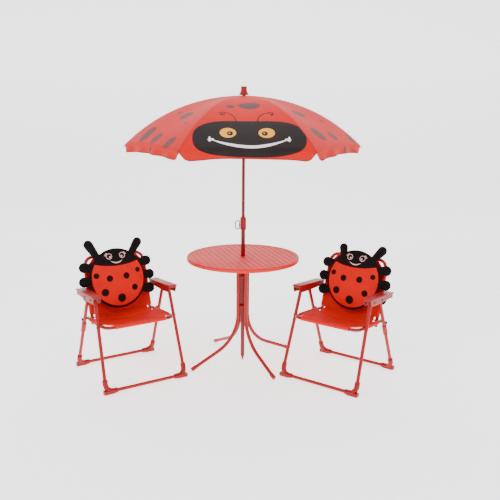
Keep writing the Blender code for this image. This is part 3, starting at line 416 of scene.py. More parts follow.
def beetle_face(shader, x, y, tone):
    """A wide black face with two yellow eyes, a thin smile and curled feelers, and two spots."""
    tone = spots(FACE_SPOTS)(shader, x, y, tone)
    feelers = []
    for side, low, high in ((-1, -math.pi / 2, 0.3), (1, -math.pi, -math.pi / 2)):
        feelers.append(shader.arc(x, y, (side * 0.093, 0.312), 0.052, 0.0046, low, high))
        curl = (side * 0.0945, 0.2690)
        feelers.append(shader.arc(x, y, curl, 0.0092, 0.0044, -math.pi, 1.6))
        feelers.append(shader.ellipse(x, y, (side * 0.0975, 0.2735), (0.0060, 0.0052), 8.0))
    tone = shader.mix(shader.either(feelers), tone, (0.030, 0.008, 0.008))
    face = shader.ellipse(x, y, (0.008, 0.3905), (0.214, 0.0815), 26.0, 2.6)
    tone = shader.mix(face, tone, (0.020, 0.015, 0.015))
    for side in (-1, 1):
        eye = (side * 0.0725, 0.3715)
        inner = (side * 0.0650, 0.3745)
        for middle, half, sharp, colour in (
            (eye, (0.0345, 0.0262), 12.0, (0.006, 0.004, 0.004)),
            (eye, (0.0315, 0.0232), 12.0, (0.95, 0.42, 0.035)),
            (inner, (0.0120, 0.0105), 8.0, (0.03, 0.02, 0.015)),
            ((inner[0] - 0.002, inner[1] - 0.001), (0.0042, 0.0038), 5.0, (0.45, 0.26, 0.10)),
        ):
            tone = shader.mix(shader.ellipse(x, y, middle, half, sharp), tone, colour)
    smile = [shader.stroke(x, y, (0.007, 0.4320), -1.55, 0.152, 0.0125)]
    for side in (-1, 1):
        tick = 0.007 + side * 0.143
        smile.append(shader.ellipse(x, y, (tick, 0.4010), (0.0125, 0.0048), 6.0))
        smile.append(shader.ellipse(x, y, (tick + side * 0.005, 0.3990), (0.0045, 0.0115), 6.0))
    return shader.mix(shader.either(smile), tone, (1.0, 0.93, 0.93))


PILLOW_SPOTS = (
    (-0.098, 0.029, 0.0122),
    (-0.042, 0.011, 0.0145),
    (0.035, 0.0145, 0.0145),
    (0.0925, 0.035, 0.0112),
    (-0.069, -0.047, 0.0168),
    (0.0025, -0.0795, 0.0190),
    (0.068, -0.0405, 0.0142),
)


def plush(name, printed):
    """Short-pile plush. The printed side has a black head, spots and a sewn face."""
    shader = Shader(name, 0.85)
    place, x, y = shader.uv("flat")
    tone = shader.mix(shader.noise(place, 22.0, 3.0), shade(PLUSH_RED, 0.8), PLUSH_RED)
    squared = shader.times(x, x)
    neck = shader.calc("ADD", 0.063, shader.times(squared, 1.6))
    if printed:
        for across, up, radius in PILLOW_SPOTS:
            spot = shader.ellipse(x, y, (across, up), (radius, radius), 7.0)
            tone = shader.mix(spot, tone, PLUSH_BLACK)
    tone = shader.mix(shader.above(y, neck, 900.0), tone, PLUSH_BLACK)
    inner = shader.ellipse(x, y, (0.0, PRINT_SHIFT), [half * 0.965 for half in PILLOW_HALF], 30.0)
    tone = shader.mix(inner, PLUSH_BLACK, tone)
    if printed:
        thread = []
        for side in (-1, 1):
            eye = (side * 0.030, 0.1075)
            thread.append(shader.arc(x, y, eye, 0.0120, 0.0027, -math.pi, math.pi))
            thread.append(shader.ellipse(x, y, (side * 0.0265, 0.1040), (0.0042, 0.0042), 5.0))
            for lash in range(3):
                root = (side * (0.0400 + 0.0035 * lash), 0.1210 - 0.0040 * lash)
                thread.append(shader.ellipse(x, y, root, (0.0038, 0.0016), 4.0))
        thread.append(shader.stroke(x, y, (0.0, 0.0765), 14.0, 0.0300, 0.0052))
        tone = shader.mix(shader.either(thread), tone, (0.84, 0.55, 0.52))
    shader.colour(tone)
    pile_over(shader, shader.noise(shader.position(), 60.0, 3.0))
    return shader.material


def pile_over(shader, nap):
    """Fine pile over a coarser nap, with hardly any shine."""
    shader.shine(0.12)
    pile = shader.noise(shader.position(), 900.0, 3.0, 0.7)
    shader.bump(shader.calc("ADD", pile, nap), 0.0006, 0.5)


def black_plush():
    shader = Shader("black_plush", 0.9)
    nap = shader.noise(shader.position(), 70.0, 3.0)
    shader.colour(shader.mix(nap, (0.003, 0.002, 0.002), (0.010, 0.007, 0.007)))
    pile_over(shader, nap)
    return shader.material


# ---- mesh helpers


def linked(name, data):
    obj = bpy.data.objects.new(name, data)
    bpy.context.scene.collection.objects.link(obj)
    return obj


def smooth_faces(mesh):
    for polygon in mesh.polygons:
        polygon.use_smooth = True


def new_object(name, mesh, material):
    smooth_faces(mesh)
    for finish in material if isinstance(material, (list, tuple)) else [material]:
        mesh.materials.append(finish)
    return linked(name, mesh)


def finished(builder, name):
    """The builder's mesh, with the builder put away."""
    mesh = bpy.data.meshes.new(name)
    builder.to_mesh(mesh)
    builder.free()
    return mesh


def round_steps(count):
    """Angles evenly round a circle."""
    return [2 * math.pi * i / count for i in range(count)]


def even_shares(steps):
    """-1 to 1 in even steps."""
    return [-1 + 2 * j / steps for j in range(steps + 1)]


def heading(angle):
    return Vector((math.cos(angle), math.sin(angle), 0))


def grid_mesh(points, flat=None, seam=None, slots=None):
    """A welded sheet through rows of points. flat and seam give two cloth values, in metres,
    for a corner of a face: from the corner's row and column, and the face's own column."""
    builder = bmesh.new()
    rows = [[builder.verts.new(point) for point in row] for row in points]
    layers = [builder.loops.layers.uv.new("flat"), builder.loops.layers.uv.new("seam")]
    for i in range(len(rows) - 1):
        for j in range(len(rows[0]) - 1):
            corners = ((i, j), (i, j + 1), (i + 1, j + 1), (i + 1, j))
            face = builder.faces.new([rows[a][b] for a, b in corners])
            if slots:
                face.material_index = slots(i, j)
            for loop, (a, b) in zip(face.loops, corners):
                if flat:
                    loop[layers[0]].uv = flat(a, b, j)
                if seam:
                    loop[layers[1]].uv = seam(a, b, j)
    bmesh.ops.remove_doubles(builder, verts=builder.verts, dist=0.00002)
    bmesh.ops.dissolve_degenerate(builder, edges=builder.edges, dist=0.00001)
    return finished(builder, "sheet")


def ring(centre, across, up, radius, sides):
    turns = round_steps(sides)
    return [centre + radius * (math.cos(t) * across + math.sin(t) * up) for t in turns]


def skin(rings, joined=False):
    """A closed skin over rings of points, capped at its ends or joined back to its start."""
    builder = bmesh.new()
    rows = [[builder.verts.new(point) for point in row] for row in rings]
    count = len(rows[0])
    pairs = list(zip(rows, rows[1:]))
    if joined:
        pairs.append((rows[-1], rows[0]))
    for low, high in pairs:
        for i in range(count):
            k = (i + 1) % count
            builder.faces.new((low[i], low[k], high[k], high[i]))
    if not joined:
        builder.faces.new(rows[0])
        builder.faces.new(rows[-1])
    bmesh.ops.recalc_face_normals(builder, faces=builder.faces)
    return finished(builder, "skin")


def bar(path, radii, sides=16, joined=False):
    """A round bar through the path's points, with a radius for each of them."""
    path = [Vector(point) for point in path]
    if isinstance(radii, float):
        radii = [radii] * len(path)
    rings = []
    across = None
    for i, point in enumerate(path):
        before = path[i - 1] if i or joined else point
        after = path[(i + 1) % len(path)] if i < len(path) - 1 or joined else point
        along = (after - before).normalized()
        if across is None:
            across = along.orthogonal()
        across = (across - across.dot(along) * along).normalized()
        rings.append(ring(point, across, along.cross(across), radii[i], sides))
    return skin(rings, joined=joined)


def dome(centre, out, radius, height):
    """A low rivet head that faces along out."""
    centre, out = Vector(centre), Vector(out).normalized()
    across = out.orthogonal().normalized()
    up = out.cross(across)
    rings = [ring(centre - out * 0.0006, across, up, radius, 20)]
    for i in range(6):
        turn = math.pi / 2 * i / 6
        middle = centre + out * height * math.sin(turn)
        rings.append(ring(middle, across, up, radius * math.cos(turn), 20))
    return skin(rings)


def joined_mesh(meshes):
    builder = bmesh.new()
    for mesh in meshes:
        builder.from_mesh(mesh)
    return finished(builder, "joined")


def thicken(obj, thickness):
    solid = obj.modifiers.new("Solidify", "SOLIDIFY")
    solid.thickness = thickness
    solid.offset = 0.0
    solid.use_even_offset = False
    return obj


def applied(obj):
    """Replace the object's mesh by what its modifiers make of it."""
    graph = bpy.context.evaluated_depsgraph_get()
    mesh = bpy.data.meshes.new_from_object(obj.evaluated_get(graph))
    obj.modifiers.clear()
    obj.data = mesh
    smooth_faces(mesh)
    return obj


def split_edges(obj, angle):
    split = obj.modifiers.new("EdgeSplit", "EDGE_SPLIT")
    split.split_angle = math.radians(angle)


def polish(node, material, bevel=0.0, angle=38.0):
    """Give a CAD node its finish, welded and shaded smooth, with its hard edges eased."""
    obj = nodes[node]
    obj.data.materials.clear()
    obj.data.materials.append(material)
    smooth_faces(obj.data)
    weld = obj.modifiers.new("Weld", "WELD")
    weld.merge_threshold = 0.00002
    if bevel:
        ease = obj.modifiers.new("Bevel", "BEVEL")
        ease.width = bevel
        ease.segments = 2
        ease.limit_method = "ANGLE"
        ease.angle_limit = math.radians(angle)
        ease.use_clamp_overlap = True
    split_edges(obj, angle)


# ---- table


def pole_axis():
    low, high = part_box("upper_pole")
    return (low + high) / 2


def table_top(material):
    """The pressed sheet-steel top: slats between grooves, a raised rim and a turned-down edge."""
    low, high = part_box("table_top")
    middle = (low + high) / 2
    radius = (high.x - low.x) / 2
    rim_top = high.z
    face = rim_top - RIM_RISE
    band = radius - RIM_BAND
    profile = [
        (band - 0.0060, face - RIM_RISE),
        (band - 0.0022, face - 0.0003),
        (band - 0.0008, rim_top - 0.0004),
        (band + 0.0012, rim_top),
        (radius - 0.0038, rim_top),
        (radius - 0.0014, rim_top - 0.0006),
        (radius - 0.0003, rim_top - 0.0022),
        (radius, rim_top - 0.0046),
        (radius, low.z + 0.0016),
        (radius - 0.0006, low.z + 0.0004),
        (radius - 0.0018, low.z),
        (radius - 0.0030, low.z + 0.0004),
        (radius - 0.0035, low.z + 0.0020),
        (radius - 0.0035, face - 0.0035),
        (band - 0.0060, face - 0.0035),
    ]
    rings = []
    for turn in round_steps(144):
        c, s = math.cos(turn), math.sin(turn)
        rings.append([Vector((middle.x + r * c, middle.y + r * s, z)) for r, z in profile])
    rim = skin(rings, joined=True)

    along = Vector((math.sin(SLAT_TURN), -math.cos(SLAT_TURN), 0))
    side = Vector((math.cos(SLAT_TURN), math.sin(SLAT_TURN), 0))
    reach = band - 0.0020
    offsets = [(-reach, 0.0)]
    count = int(2 * reach / SLAT_PITCH)
    start = -SLAT_PITCH * (count - 1) / 2
    for i in range(count):
        groove = start + i * SLAT_PITCH
        for shift, share in GROOVE_STEPS:
            offsets.append((groove + shift * GROOVE_WIDTH, share))
    offsets.append((reach, 0.0))
    loops = []
    for offset, share in offsets:
        half = math.sqrt(max(reach**2 - offset**2, 0.0)) if abs(offset) < reach else 0.004
        upper = []
        lower = []
        for step in even_shares(40):
            run = half * step
            ease = min(1.0, (half - abs(run)) / 0.012)
            point = Vector((middle.x, middle.y, face)) + side * offset + along * run
            upper.append(point - Vector((0, 0, GROOVE_DEPTH * share * ease)))
            lower.append(point - Vector((0, 0, 0.0034)))
        loops.append(upper + lower[::-1])
    disc = new_object("slats", skin(loops), material)
    under = Vector((middle.x, middle.y, face - 0.02))
    hole = ring(under, Vector((1, 0, 0)), Vector((0, 1, 0)), TOP_HOLE, 40)
    cutter = new_object("cutter", skin([hole, [p + Vector((0, 0, 0.04)) for p in hole]]), material)
    cut = disc.modifiers.new("Boolean", "BOOLEAN")
    cut.solver = "EXACT"
    cut.object = cutter
    bpy.context.view_layer.update()
    applied(disc)
    mesh = joined_mesh([disc.data, rim])
    bpy.data.objects.remove(disc)
    bpy.data.objects.remove(cutter)
    top = new_object("table_top_pressed", mesh, material)
    split_edges(top, 50)
    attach(top, "table")
    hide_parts("table_top")


# ---- canopy


def canopy_height(top, radius):
    return top - CANOPY_A * radius**2 - CANOPY_B * radius**4


def rib_angle(number):
    axis = joints[f"rib_hinge_{number}"]["axis"]
    return math.atan2(-axis[0], axis[1])


def gore(number, top, centre, materials):
    """The cloth either side of one rib, to the middle of both panels, with its hanging flaps."""
    angle = rib_angle(number)
    shares = even_shares(GORE_COLUMNS)
    chord = RIM_RADIUS * math.sin(HALF_PANEL)

    def radius_at(i):
        if i > GORE_ROWS:
            return RIM_RADIUS
        return CLOTH_START + (RIM_RADIUS - CLOTH_START) * i / GORE_ROWS

    def surface(radius, share):
        turn = angle + math.copysign(HALF_PANEL, share)
        out = radius / RIM_RADIUS
        middle = heading(turn) * radius * math.cos(HALF_PANEL)
        spot = (heading(angle) * radius).lerp(middle, abs(share))
        hollow = (1 - math.cos(math.pi * share)) / 2 * HOLLOW
        hollow *= math.sin(math.pi * min(out, 1.0) ** 1.3)
        ripple = noise.noise(Vector((spot.x * 9, spot.y * 9, 3.1))) * RIPPLE * out**2
        arch = EDGE_ARCH * (1 - (1 - abs(share)) ** 3) * out**6
        height = canopy_height(top, radius) - hollow + arch + ripple * min(1.0, abs(share) * 6)
        return Vector((centre.x + spot.x, centre.y + spot.y, height))

    def drop_at(share):
        off = abs(share) * chord - NOTCH_HALF
        if off <= 0:
            return 0.0
        bend = min(1.0, off / VALANCE_CORNER)
        return VALANCE_DROP * math.sqrt(max(0.0, 1 - (1 - bend) ** 2))

    points = [[surface(radius_at(i), share) for share in shares] for i in range(GORE_ROWS + 1)]
    rim = points[-1]
    for k in range(1, FLAP_ROWS + 1):
        depth = k / FLAP_ROWS
        row = []
        for share, edge in zip(shares, rim):
            turn = angle + math.copysign(HALF_PANEL, share)
            drop = drop_at(share) * depth
            lateral = edge.x * -math.sin(turn) + edge.y * math.cos(turn)
            waves = [math.sin(lateral * a + turn * b) * size for a, b, size in FLAP_WAVES]
            swing = 0.10 * drop + sum(waves) * depth * min(1.0, drop / 0.02)
            swing *= min(1.0, abs(share) * 5)
            row.append(edge + heading(turn) * swing - Vector((0, 0, drop)))
        points.append(row)

    def flat(i, j, face_column):
        side = -1 if face_column < GORE_COLUMNS / 2 else 1
        share = abs(shares[j])
        down = radius_at(i) * math.cos(HALF_PANEL)
        if i > GORE_ROWS:
            down += drop_at(share) * (i - GORE_ROWS) / FLAP_ROWS
        return (-side * radius_at(i) * math.sin(HALF_PANEL) * (1 - share), down)

    def seam(i, j, face_column):
        share = abs(shares[j])
        run = radius_at(i)
        from_rib = share * run * math.sin(HALF_PANEL)
        if i <= GORE_ROWS:
            return (from_rib + HEM_WIDTH, run)
        left = drop_at(share) * (1 - (i - GORE_ROWS) / FLAP_ROWS)
        return (left, from_rib) if share > 0.06 else (min(left, from_rib), run)

    mesh = grid_mesh(points, flat, seam, lambda i, j: 0 if j < GORE_COLUMNS / 2 else 1)
    piece = new_object(f"canopy_cloth_{number}", mesh, materials)
    even_seams(piece, centre, angle)
    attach(piece, f"rib_body_{number}")
    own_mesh(piece)
    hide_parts(f"canopy_gore_{number}")


def even_seams(piece, centre, angle):
    """Where two gores meet, turn the shading into the plane between them, so no join shows."""
    mesh = piece.data
    normals = [vertex.normal.copy() for vertex in mesh.vertices]
    for side in (-1, 1):
        turn = angle + side * HALF_PANEL
        across = Vector((-math.sin(turn), math.cos(turn), 0))
        for vertex, normal in zip(mesh.vertices, normals):
            if abs((vertex.co - centre).dot(across)) < 0.00005:
                normal -= normal.dot(across) * across
                normal.normalize()
    mesh.normals_split_custom_set_from_vertices(normals)


def canopy(wire):
    centre = pole_axis()
    top = max(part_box(f"canopy_gore_{n + 1}")[1].z for n in range(RIB_COUNT)) - 0.0007
    face = canopy_cloth("canopy_face_print", beetle_face)
    left = canopy_cloth("canopy_left_print", spots(LEFT_SPOTS))
    right = canopy_cloth("canopy_right_print", spots(RIGHT_SPOTS))
    by_panel = (right, left, right, left, face, right)
    for number in range(1, RIB_COUNT + 1):
        gore(number, top, centre, [by_panel[(number - 2) % RIB_COUNT], by_panel[number - 1]])
    # A bead on each rib's tip keeps the cloth's corner on the wire.
    for number in range(1, RIB_COUNT + 1):
        out = heading(rib_angle(number))
        low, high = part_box(f"rib_{number}")
        corners = [Vector((x, y, 0)) for x in (low.x, high.x) for y in (low.y, high.y)]
        reach = max((corner - Vector((centre.x, centre.y, 0))).dot(out) for corner in corners)
        tip = centre + out * (min(reach, RIM_RADIUS + 0.007) - 0.0005)
        tip.z = low.z + 0.0016
        slope = Vector((out.x, out.y, -0.9)).normalized()
        path = [tip + slope * along for along in (-0.006, -0.002, 0.001, 0.0022)]
        bead_mesh = bar(path, [0.0019, 0.0026, 0.0024, 0.0010], 14)
        bead = new_object(f"rib_tip_{number}", bead_mesh, wire)
        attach(bead, f"rib_body_{number}")


# ---- chairs


class Chair:
    """One chair's directions and pivots, read from its joints."""

    def __init__(self, name):
        self.name = name
        fold = joints[name + "_fold"]
        self.x = Vector(fold["axis"]).normalized()
        self.y = Vector((0, 0, 1)).cross(self.x)
        self.seat = Vector(fold["pos_m"])
        self.rod = Vector(joints[name + "_back_hinge"]["pos_m"])
        self.arm = Vector(joints[name + "_arm_hinge"]["pos_m"])
        self.rear = Vector(joints[name + "_rear_hinge"]["pos_m"])
        self.seat_along = (self.rod - self.seat).normalized()
        self.seat_up = self.x.cross(self.seat_along)
        self.back_up = self.y * math.sin(BACK_LEAN) + Vector((0, 0, 1)) * math.cos(BACK_LEAN)
        self.back_out = self.x.cross(self.back_up)

    def spread(self, node, origin, direction):
        """Lowest and highest reach of a CAD node along a direction from origin."""
        values = [(v.co - origin).dot(direction) for v in nodes[node].data.vertices]
        return min(values), max(values)


def sling(name, place, tube_x, corner, side_from, side_to, end, sag, material):
    """Cloth that wraps the cross bar at one end and a tube at each side, in the frame
    place(across, down from the bar, up from the tubes' plane). The bar's bends take corner,
    the cloth is at full width from side_from on, and the sleeves reach to side_to."""
    wrap = TUBE + SLING_LIFT
    bar_half = tube_x - corner - 0.008
    shares = even_shares(SLING_COLUMNS)
    # Rows of cloth: how far down, how far up if that is fixed, and the run from the bar.
    profile = []
    for k in range(11):
        turn = math.radians(-150 + 240 * k / 10)
        profile.append((-math.cos(turn) * wrap, math.sin(turn) * wrap, 0.0))
    for k in range(1, SLING_ROWS + 1):
        down = end * k / SLING_ROWS
        profile.append((down, None, down))
    points = []
    spans = []
    for down, up, run in profile:
        widen = min(1.0, run / side_from)
        half = bar_half + (tube_x - bar_half) * widen
        spans.append(half)
        row = []
        for share in shares:
            height = up
            if up is None:
                ease = min(1.0, run / 0.06)
                ease = ease * ease * (3 - 2 * ease)
                dip = wrap * abs(share) ** 8 - sag * (1 - share**2)
                height = wrap + (dip - wrap) * ease
                ripple = noise.noise(Vector((share * 2.2, run * 14, len(name)))) * 0.0011
                height += ripple * ease * (1 - share**4)
            row.append(place(half * share, down, height))
        points.append(row)
    middles = [row[SLING_COLUMNS // 2] for row in points]
    lengths = [0.0]
    for before, after in zip(middles, middles[1:]):
        lengths.append(lengths[-1] + (after - before).length)

    def flat(i, j, face_column):
        return (spans[i] * shares[j], lengths[i])

    def seam(i, j, face_column):
        from_end = lengths[-1] - lengths[i]
        inner = abs(profile[i][0] - 0.014) + 0.004
        edge = min(from_end, inner if profile[i][2] < 0.03 else 1.0)
        across = spans[i] * shares[j]
        side = spans[i] - abs(across) if profile[i][2] < side_from else 1.0
        return (min(edge, side), across if edge < side else lengths[i])

    meshes = [grid_mesh(points, flat, seam)]
    runs = [side_from + (side_to - side_from) * i / SLEEVE_ROWS for i in range(SLEEVE_ROWS + 1)]
    for sign in (-1, 1):
        turns = [-8 + 262 * k / SLEEVE_STEPS for k in range(SLEEVE_STEPS + 1)]
        turns = [math.radians(90 - sign * turn) for turn in turns]
        strip = []
        for run in runs:
            offsets = [(sign * tube_x + math.cos(t) * wrap, math.sin(t) * wrap) for t in turns]
            strip.append([place(x, run, up) for x, up in offsets])
        meshes.append(grid_mesh(
            strip,
            lambda i, j, c: (tube_x + j * SLEEVE_STEP, runs[i]),
            lambda i, j, c: ((SLEEVE_STEPS - j) * SLEEVE_STEP, runs[i]),
        ))
    piece = new_object(name, joined_mesh(meshes), material)
    applied(thicken(piece, SLING_SHEET))
    return piece, lengths[-1]


def fold_strip(chair, seat_place, back_place, seat_end, back_end, material):
    """The cloth that runs on from the seat to the back, over the cross rod."""
    rows = []
    steps = 10
    shares = even_shares(30)
    half_from, half_to = 0.131, 0.122
    for i in range(steps + 1):
        share = i / steps
        row = []
        for x in shares:
            sag = 1 - x**2
            start = seat_place(half_from * x, seat_end - 0.004, -0.0135 * sag - 0.0008)
            middle = seat_place(half_to * x, seat_end + 0.022, 0.0010 - 0.004 * sag)
            finish = back_place(half_to * x, back_end - 0.003, -0.0075 * sag - 0.0010)
            lower = start.lerp(middle, share)
            upper = middle.lerp(finish, share)
            row.append(lower.lerp(upper, share))
        rows.append(row)
    length = sum((after[15] - before[15]).length for before, after in zip(rows, rows[1:]))

    def seam(i, j, face_column):
        nearest = min(length * i / steps, length * (1 - i / steps))
        return (nearest + 0.001, half_from * (shares[j] + 1))

    mesh = grid_mesh(rows, lambda i, j, c: (half_from * shares[j], length * i / steps), seam)
    piece = new_object(chair.name + "_sling_fold", mesh, material)
    applied(thicken(piece, SLING_SHEET))
    start = tuple(seat_place(0, seat_end + 0.004, 0))
    finish = tuple(back_place(0, back_end - 0.004, 0))
    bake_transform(piece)
    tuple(start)
    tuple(finish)


def slings(chair, material):
    name = chair.name
    sling_node = name + "_seat_sling"
    tube_x = chair.spread(sling_node, chair.seat, chair.x)[1] - SLEEVE
    front = chair.spread(name + "_seat_frame", chair.seat, chair.seat_along)[0] + TUBE
    rear = chair.spread(sling_node, chair.seat, chair.seat_along)[1]

    def seat_place(across, down, up):
        along = chair.seat_along * (front + down)
        return chair.seat + chair.x * across + along + chair.seat_up * up

    end = rear - front
    cloth = name + "_seat_cloth"
    seat, length = sling(cloth, seat_place, tube_x, 0.030, 0.0535, end, end, 0.0135, material)
    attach(seat, name + "_seat_body")
    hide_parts(sling_node)

    back_node = name + "_back_sling"
    back_x = chair.spread(back_node, chair.rod, chair.x)[1] - SLEEVE
    top = chair.spread(name + "_back_frame", chair.rod, chair.back_up)[1] - TUBE
    low = chair.spread(back_node, chair.rod, chair.back_up)[0]

    def back_place(across, down, up):
        return chair.rod + chair.x * across + chair.back_up * (top - down) + chair.back_out * up

    end_up = top - low
    cloth = name + "_back_cloth"
    back, length = sling(
        cloth, back_place, back_x, 0.032, 0.047, end_up - 0.004, end_up, 0.0075, material
    )
    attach(back, name + "_back_body")
    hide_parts(back_node)
    fold_strip(chair, seat_place, back_place, end, end_up, material)


def pillow_body():
    """The plump oval of the beetle, drawn flat in X and Y, and puffed out by a short simulation."""
    rings = 12
    around = 72
    builder = bmesh.new()

    def band(inner, outer):
        for j in range(around):
            k = (j + 1) % around
            builder.faces.new((inner[j], inner[k], outer[k], outer[j]))

    rims = []
    for sign in (1, -1):
        rows = []
        for i in range(rings + 1):
            share = math.sin(math.pi / 2 * i / rings)
            height = PILLOW_START * math.sqrt(max(0.0, 1 - share**2.4))
            row = []
            for turn in round_steps(around):
                x = PILLOW_HALF[0] * share * math.cos(turn)
                y = PILLOW_HALF[1] * share * math.sin(turn)
                row.append(builder.verts.new((x, y, sign * (height + 0.0004))))
            rows.append(row)
        rims.append(rows[-1])
        for inner, outer in zip(rows, rows[1:]):
            band(inner, outer)
    band(*rims)
    bmesh.ops.remove_doubles(builder, verts=builder.verts, dist=0.00015)
    bmesh.ops.recalc_face_normals(builder, faces=builder.faces)
    body = linked("pillow_start", finished(builder, "pillow"))
    remesh = body.modifiers.new("Remesh", "REMESH")
    remesh.mode = "VOXEL"
    remesh.voxel_size = 0.005
    bpy.context.view_layer.update()
    applied(body)
    puff(body)
    smooth = body.modifiers.new("Subdivision", "SUBSURF")
    smooth.levels = 1
    smooth.render_levels = 1
    bpy.context.view_layer.update()
    applied(body)
    mesh = body.data.copy()
    bpy.data.objects.remove(body)
    return mesh


def out_squared(point):
    """The square of how far out a point is: 0 in the pillow's middle and 1 at its rim."""
    return (point.x / PILLOW_HALF[0]) ** 2 + (point.y / PILLOW_HALF[1]) ** 2


def puff(body):
    """Blow the body up against its pinned rim, no point moving further than the cap."""
    cap = 0.016
    start = [vertex.co.copy() for vertex in body.data.vertices]
    pinned = [v.index for v in body.data.vertices if math.sqrt(out_squared(v.co)) > 0.965]
    group = body.vertex_groups.new(name="rim")
    group.add(pinned, 1.0, "REPLACE")
    cloth = body.modifiers.new("Cloth", "CLOTH")
    cloth.settings.vertex_group_mass = "rim"
    cloth.settings.quality = 6
    cloth.settings.mass = 0.25
    cloth.settings.tension_stiffness = 12
    cloth.settings.compression_stiffness = 12
    cloth.settings.bending_stiffness = 0.6
    cloth.settings.use_pressure = True
    cloth.settings.uniform_pressure_force = 4.0
    cloth.settings.effector_weights.gravity = 0.0
    cloth.point_cache.frame_start = 1
    cloth.point_cache.frame_end = 20
    for step in range(1, 21):
        bpy.context.scene.frame_set(step)
    graph = bpy.context.evaluated_depsgraph_get()
    moved = [vertex.co.copy() for vertex in body.evaluated_get(graph).data.vertices]
    body.modifiers.clear()
    for vertex, before, after in zip(body.data.vertices, start, moved):
        shift = after - before
        if shift.length > cap:
            shift *= cap / shift.length
        vertex.co = before + shift
    bpy.context.scene.frame_set(1)


def lobe(root, tip, sizes, flat=0.8):
    """A stuffed limb from root to tip with a rounded end, flatter than it is wide."""
    root, tip = Vector(root), Vector(tip)
    along = (tip - root).normalized()
    side = Vector((-along.y, along.x, 0))
    up = Vector((0, 0, 1))
    start, end = sizes
    straight = (tip - root).length - end
    rings = []
    for i in range(9):
        share = i / 8
        rings.append((root + along * straight * share, start + (end - start) * share**0.8))
    for k in range(1, 7):
        turn = math.pi / 2 * k / 6.4
        rings.append((root + along * (straight + end * math.sin(turn)), end * math.cos(turn)))
    loops = []
    for centre, size in rings:
        high = up * size * flat
        turns = round_steps(20)
        loops.append([centre + side * size * math.cos(t) + high * math.sin(t) for t in turns])
    return skin(loops)


def pillow(chair, body_mesh, front, back, black):
    """The beetle pillow: body, piped edge, two feelers and six feet."""
    name = chair.name
    shift = -0.008 if chair.x.y > 0 else 0.010
    centre = chair.rod + chair.back_up * PILLOW_UP + chair.back_out * PILLOW_OUT + chair.x * shift
    place = Matrix((
        (chair.x.x, chair.back_up.x, chair.back_out.x, centre.x),
        (chair.x.y, chair.back_up.y, chair.back_out.y, centre.y),
        (chair.x.z, chair.back_up.z, chair.back_out.z, centre.z),
        (0, 0, 0, 1),
    ))
    mesh = body_mesh.copy()
    mesh.materials.clear()
    layer = mesh.uv_layers.new(name="flat")
    for polygon in mesh.polygons:
        polygon.material_index = 0 if polygon.normal.z > 0 else 1
        for index in polygon.loop_indices:
            point = mesh.vertices[mesh.loops[index].vertex_index].co
            layer.data[index].uv = (point.x, point.y + PRINT_SHIFT)
    mesh.transform(place)
    if place.determinant() < 0:
        mesh.flip_normals()
    body = new_object(name + "_beetle_pillow", mesh, [front, back])
    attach(body, name + "_back_body")
    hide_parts(name + "_cushion")

    wide, high = PILLOW_HALF
    edge = []
    for turn in round_steps(96):
        edge.append(place @ Vector((wide * math.cos(turn), high * math.sin(turn), 0)))
    trim = [bar(edge, PIPING, 10, joined=True)]
    for root, tip, sizes in FEELERS[name]:
        limb = lobe((*root, -0.004), (*tip, -0.004), sizes)
        limb.transform(place)
        trim.append(limb)
    for side in (-1, 1):
        for height, reach, lift in FEET:
            root_x = side * (wide * math.sqrt(max(0.0, 1 - (height / high) ** 2)) - 0.012)
            ends = (root_x, height, -0.004), (side * reach, lift, -0.004)
            limb = lobe(*ends, (0.0135, 0.0222), 0.60)
            limb.transform(place)
            trim.append(limb)
    mesh = joined_mesh(trim)
    limbs = new_object(name + "_pillow_limbs", mesh, black)
    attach(limbs, name + "_back_body")


def rivets(chair, wire):
    """Rivet heads outside each armrest's pivots and caps on the cross rod's ends."""
    name = chair.name
    for side, label in ((1, "r"), (-1, "l")):
        node = f"{name}_armrest_{label}"
        low, high = chair.spread(node, chair.arm, chair.x)
        skirt = (high if side > 0 else low) - side * 0.004
        heads = []
        for pivot in (chair.arm, chair.rear):
            at = pivot + chair.x * skirt
            heads.append(dome(at, chair.x * side, 0.0052, 0.0022))
        piece = new_object(f"{name}_rivets_{label}", joined_mesh(heads), wire)
        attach(piece, name + "_arms_body")
        low, high = chair.spread(name + "_back_frame", chair.rod, chair.x)
        end = chair.rod + chair.x * (high if side > 0 else low)
        path = [end + chair.x * side * out for out in (-0.004, -0.0005, 0.0012)]
        cap_mesh = bar(path, [0.0052, 0.0055, 0.0034], 20)
        cap = new_object(f"{name}_rod_cap_{label}", cap_mesh, wire)
        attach(cap, name + "_back_body")


# ---- stage


def look_from(table):
    """The camera: 2.86 m in front of the table and a little above the clip, tilted down."""
    yaw, pitch, roll = 0.021, 0.224, 0.008
    level = math.cos(pitch)
    forward = Vector((math.sin(yaw) * level, math.cos(yaw) * level, -math.sin(pitch)))
    right = Vector((math.cos(yaw), -math.sin(yaw), 0))
    up = right.cross(forward)
    turned_right = right * math.cos(roll) + up * math.sin(roll)
    turned_up = up * math.cos(roll) - right * math.sin(roll)
    place = Vector((table.x - 0.0289, table.y - 2.8584, 1.1748))
    data = bpy.data.cameras.new("camera")
    data.lens = 47.28
    data.sensor_width = 36.0
    camera = linked("camera", data)
    columns = (turned_right, turned_up, -forward)
    turn = Matrix([[column[i] for column in columns] for i in range(3)]).to_4x4()
    camera.matrix_world = Matrix.Translation(place) @ turn
    bpy.context.scene.camera = camera


def softbox(name, place, target, size, power):
    data = bpy.data.lights.new(name, "AREA")
    data.shape = "RECTANGLE"
    data.size, data.size_y = size
    data.energy = power
    light = linked(name, data)
    light.location = place
    aim = Vector(target) - Vector(place)
    light.rotation_euler = aim.to_track_quat("-Z", "Y").to_euler()


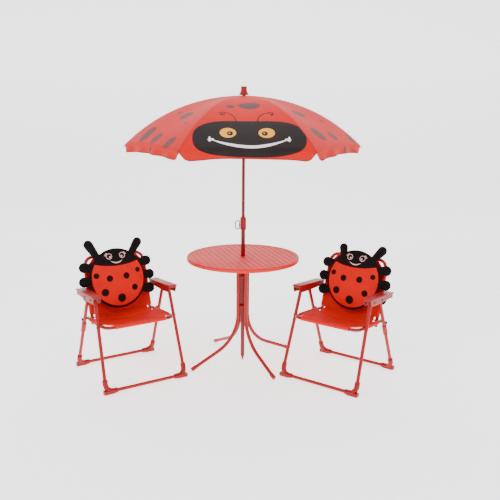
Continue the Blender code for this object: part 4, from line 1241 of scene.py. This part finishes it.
def stage():
    """A glowing white floor that sweeps up into a backdrop, an even sky and three soft boxes."""
    floor_shader = Shader("floor_paint", 0.9)
    floor_shader.shine(0.0)
    sockets = floor_shader.surface.inputs
    sockets["Base Color"].default_value = (0.9, 0.9, 0.9, 1.0)
    sockets["Emission Color"].default_value = (1.0, 1.0, 1.0, 1.0)
    sockets["Emission Strength"].default_value = 1.6
    rows = [(-7.0, -0.0005), (3.0, -0.0005)]
    for i in range(1, 13):
        turn = math.pi / 2 * i / 12
        rows.append((3.0 + 1.6 * math.sin(turn), 1.6 - 1.6005 * math.cos(turn)))
    rows.append((4.6, 6.0))
    points = [[Vector((x, y, z)) for x in (-9.0, 9.0)] for y, z in rows]
    sweep = new_object("studio_sweep", grid_mesh(points), floor_shader.material)
    world = bpy.data.worlds.new("sky")
    world.use_nodes = True
    background = world.node_tree.nodes["Background"]
    background.inputs["Color"].default_value = (1.0, 1.0, 1.0, 1.0)
    background.inputs["Strength"].default_value = 0.55
    bpy.context.scene.world = world
    softbox("key_box", (-1.6, -2.6, 2.8), (0, 0, 0.5), (2.2, 1.6), 70)
    softbox("fill_box", (2.2, -2.4, 1.8), (0, 0, 0.4), (1.8, 1.8), 35)
    softbox("top_box", (0.0, 0.6, 3.0), (0, 0, 0.6), (2.4, 2.4), 40)


# ---- assembly


def main():
    paint = painted_steel("red_powder_coat", RED_PAINT)
    top_paint = painted_steel("table_powder_coat", TOP_PAINT, 0.50, 0.22)
    # The pole's darker copy of the frame's powder coat is painted shade.
    pole_painted_shade = painted_steel("pole_powder_coat", POLE_PAINTED_SHADE)
    plastic = moulded_plastic("red_moulding", RED_PLASTIC)
    wire = drawn_wire("zinc_wire", STEEL)
    dark_wire = drawn_wire("dark_rivet", DARK_STEEL)
    sling_finish = sling_cloth()
    front = plush("beetle_plush_front", True)
    back = plush("beetle_plush_back", False)
    black = black_plush()

    look_from(pole_axis())
    stage()
    slots = {row["node"]: row["material_slot"] for row in frame["record"]["subparts"]}
    for node, slot in slots.items():
        if slot == "frame_paint" and node != "table_top":
            polish(node, pole_painted_shade if node.endswith("_pole") else paint)
        elif slot == "red_plastic":
            polish(node, plastic, 0.0007)
        elif slot == "bare_steel":
            polish(node, paint if node == "pull_pin" else wire)
    table_top(top_paint)
    canopy(wire)
    body_mesh = pillow_body()
    for name in ("chair_left", "chair_right"):
        chair = Chair(name)
        slings(chair, sling_finish)
        pillow(chair, body_mesh, front, back, black)
        rivets(chair, dark_wire)


main()
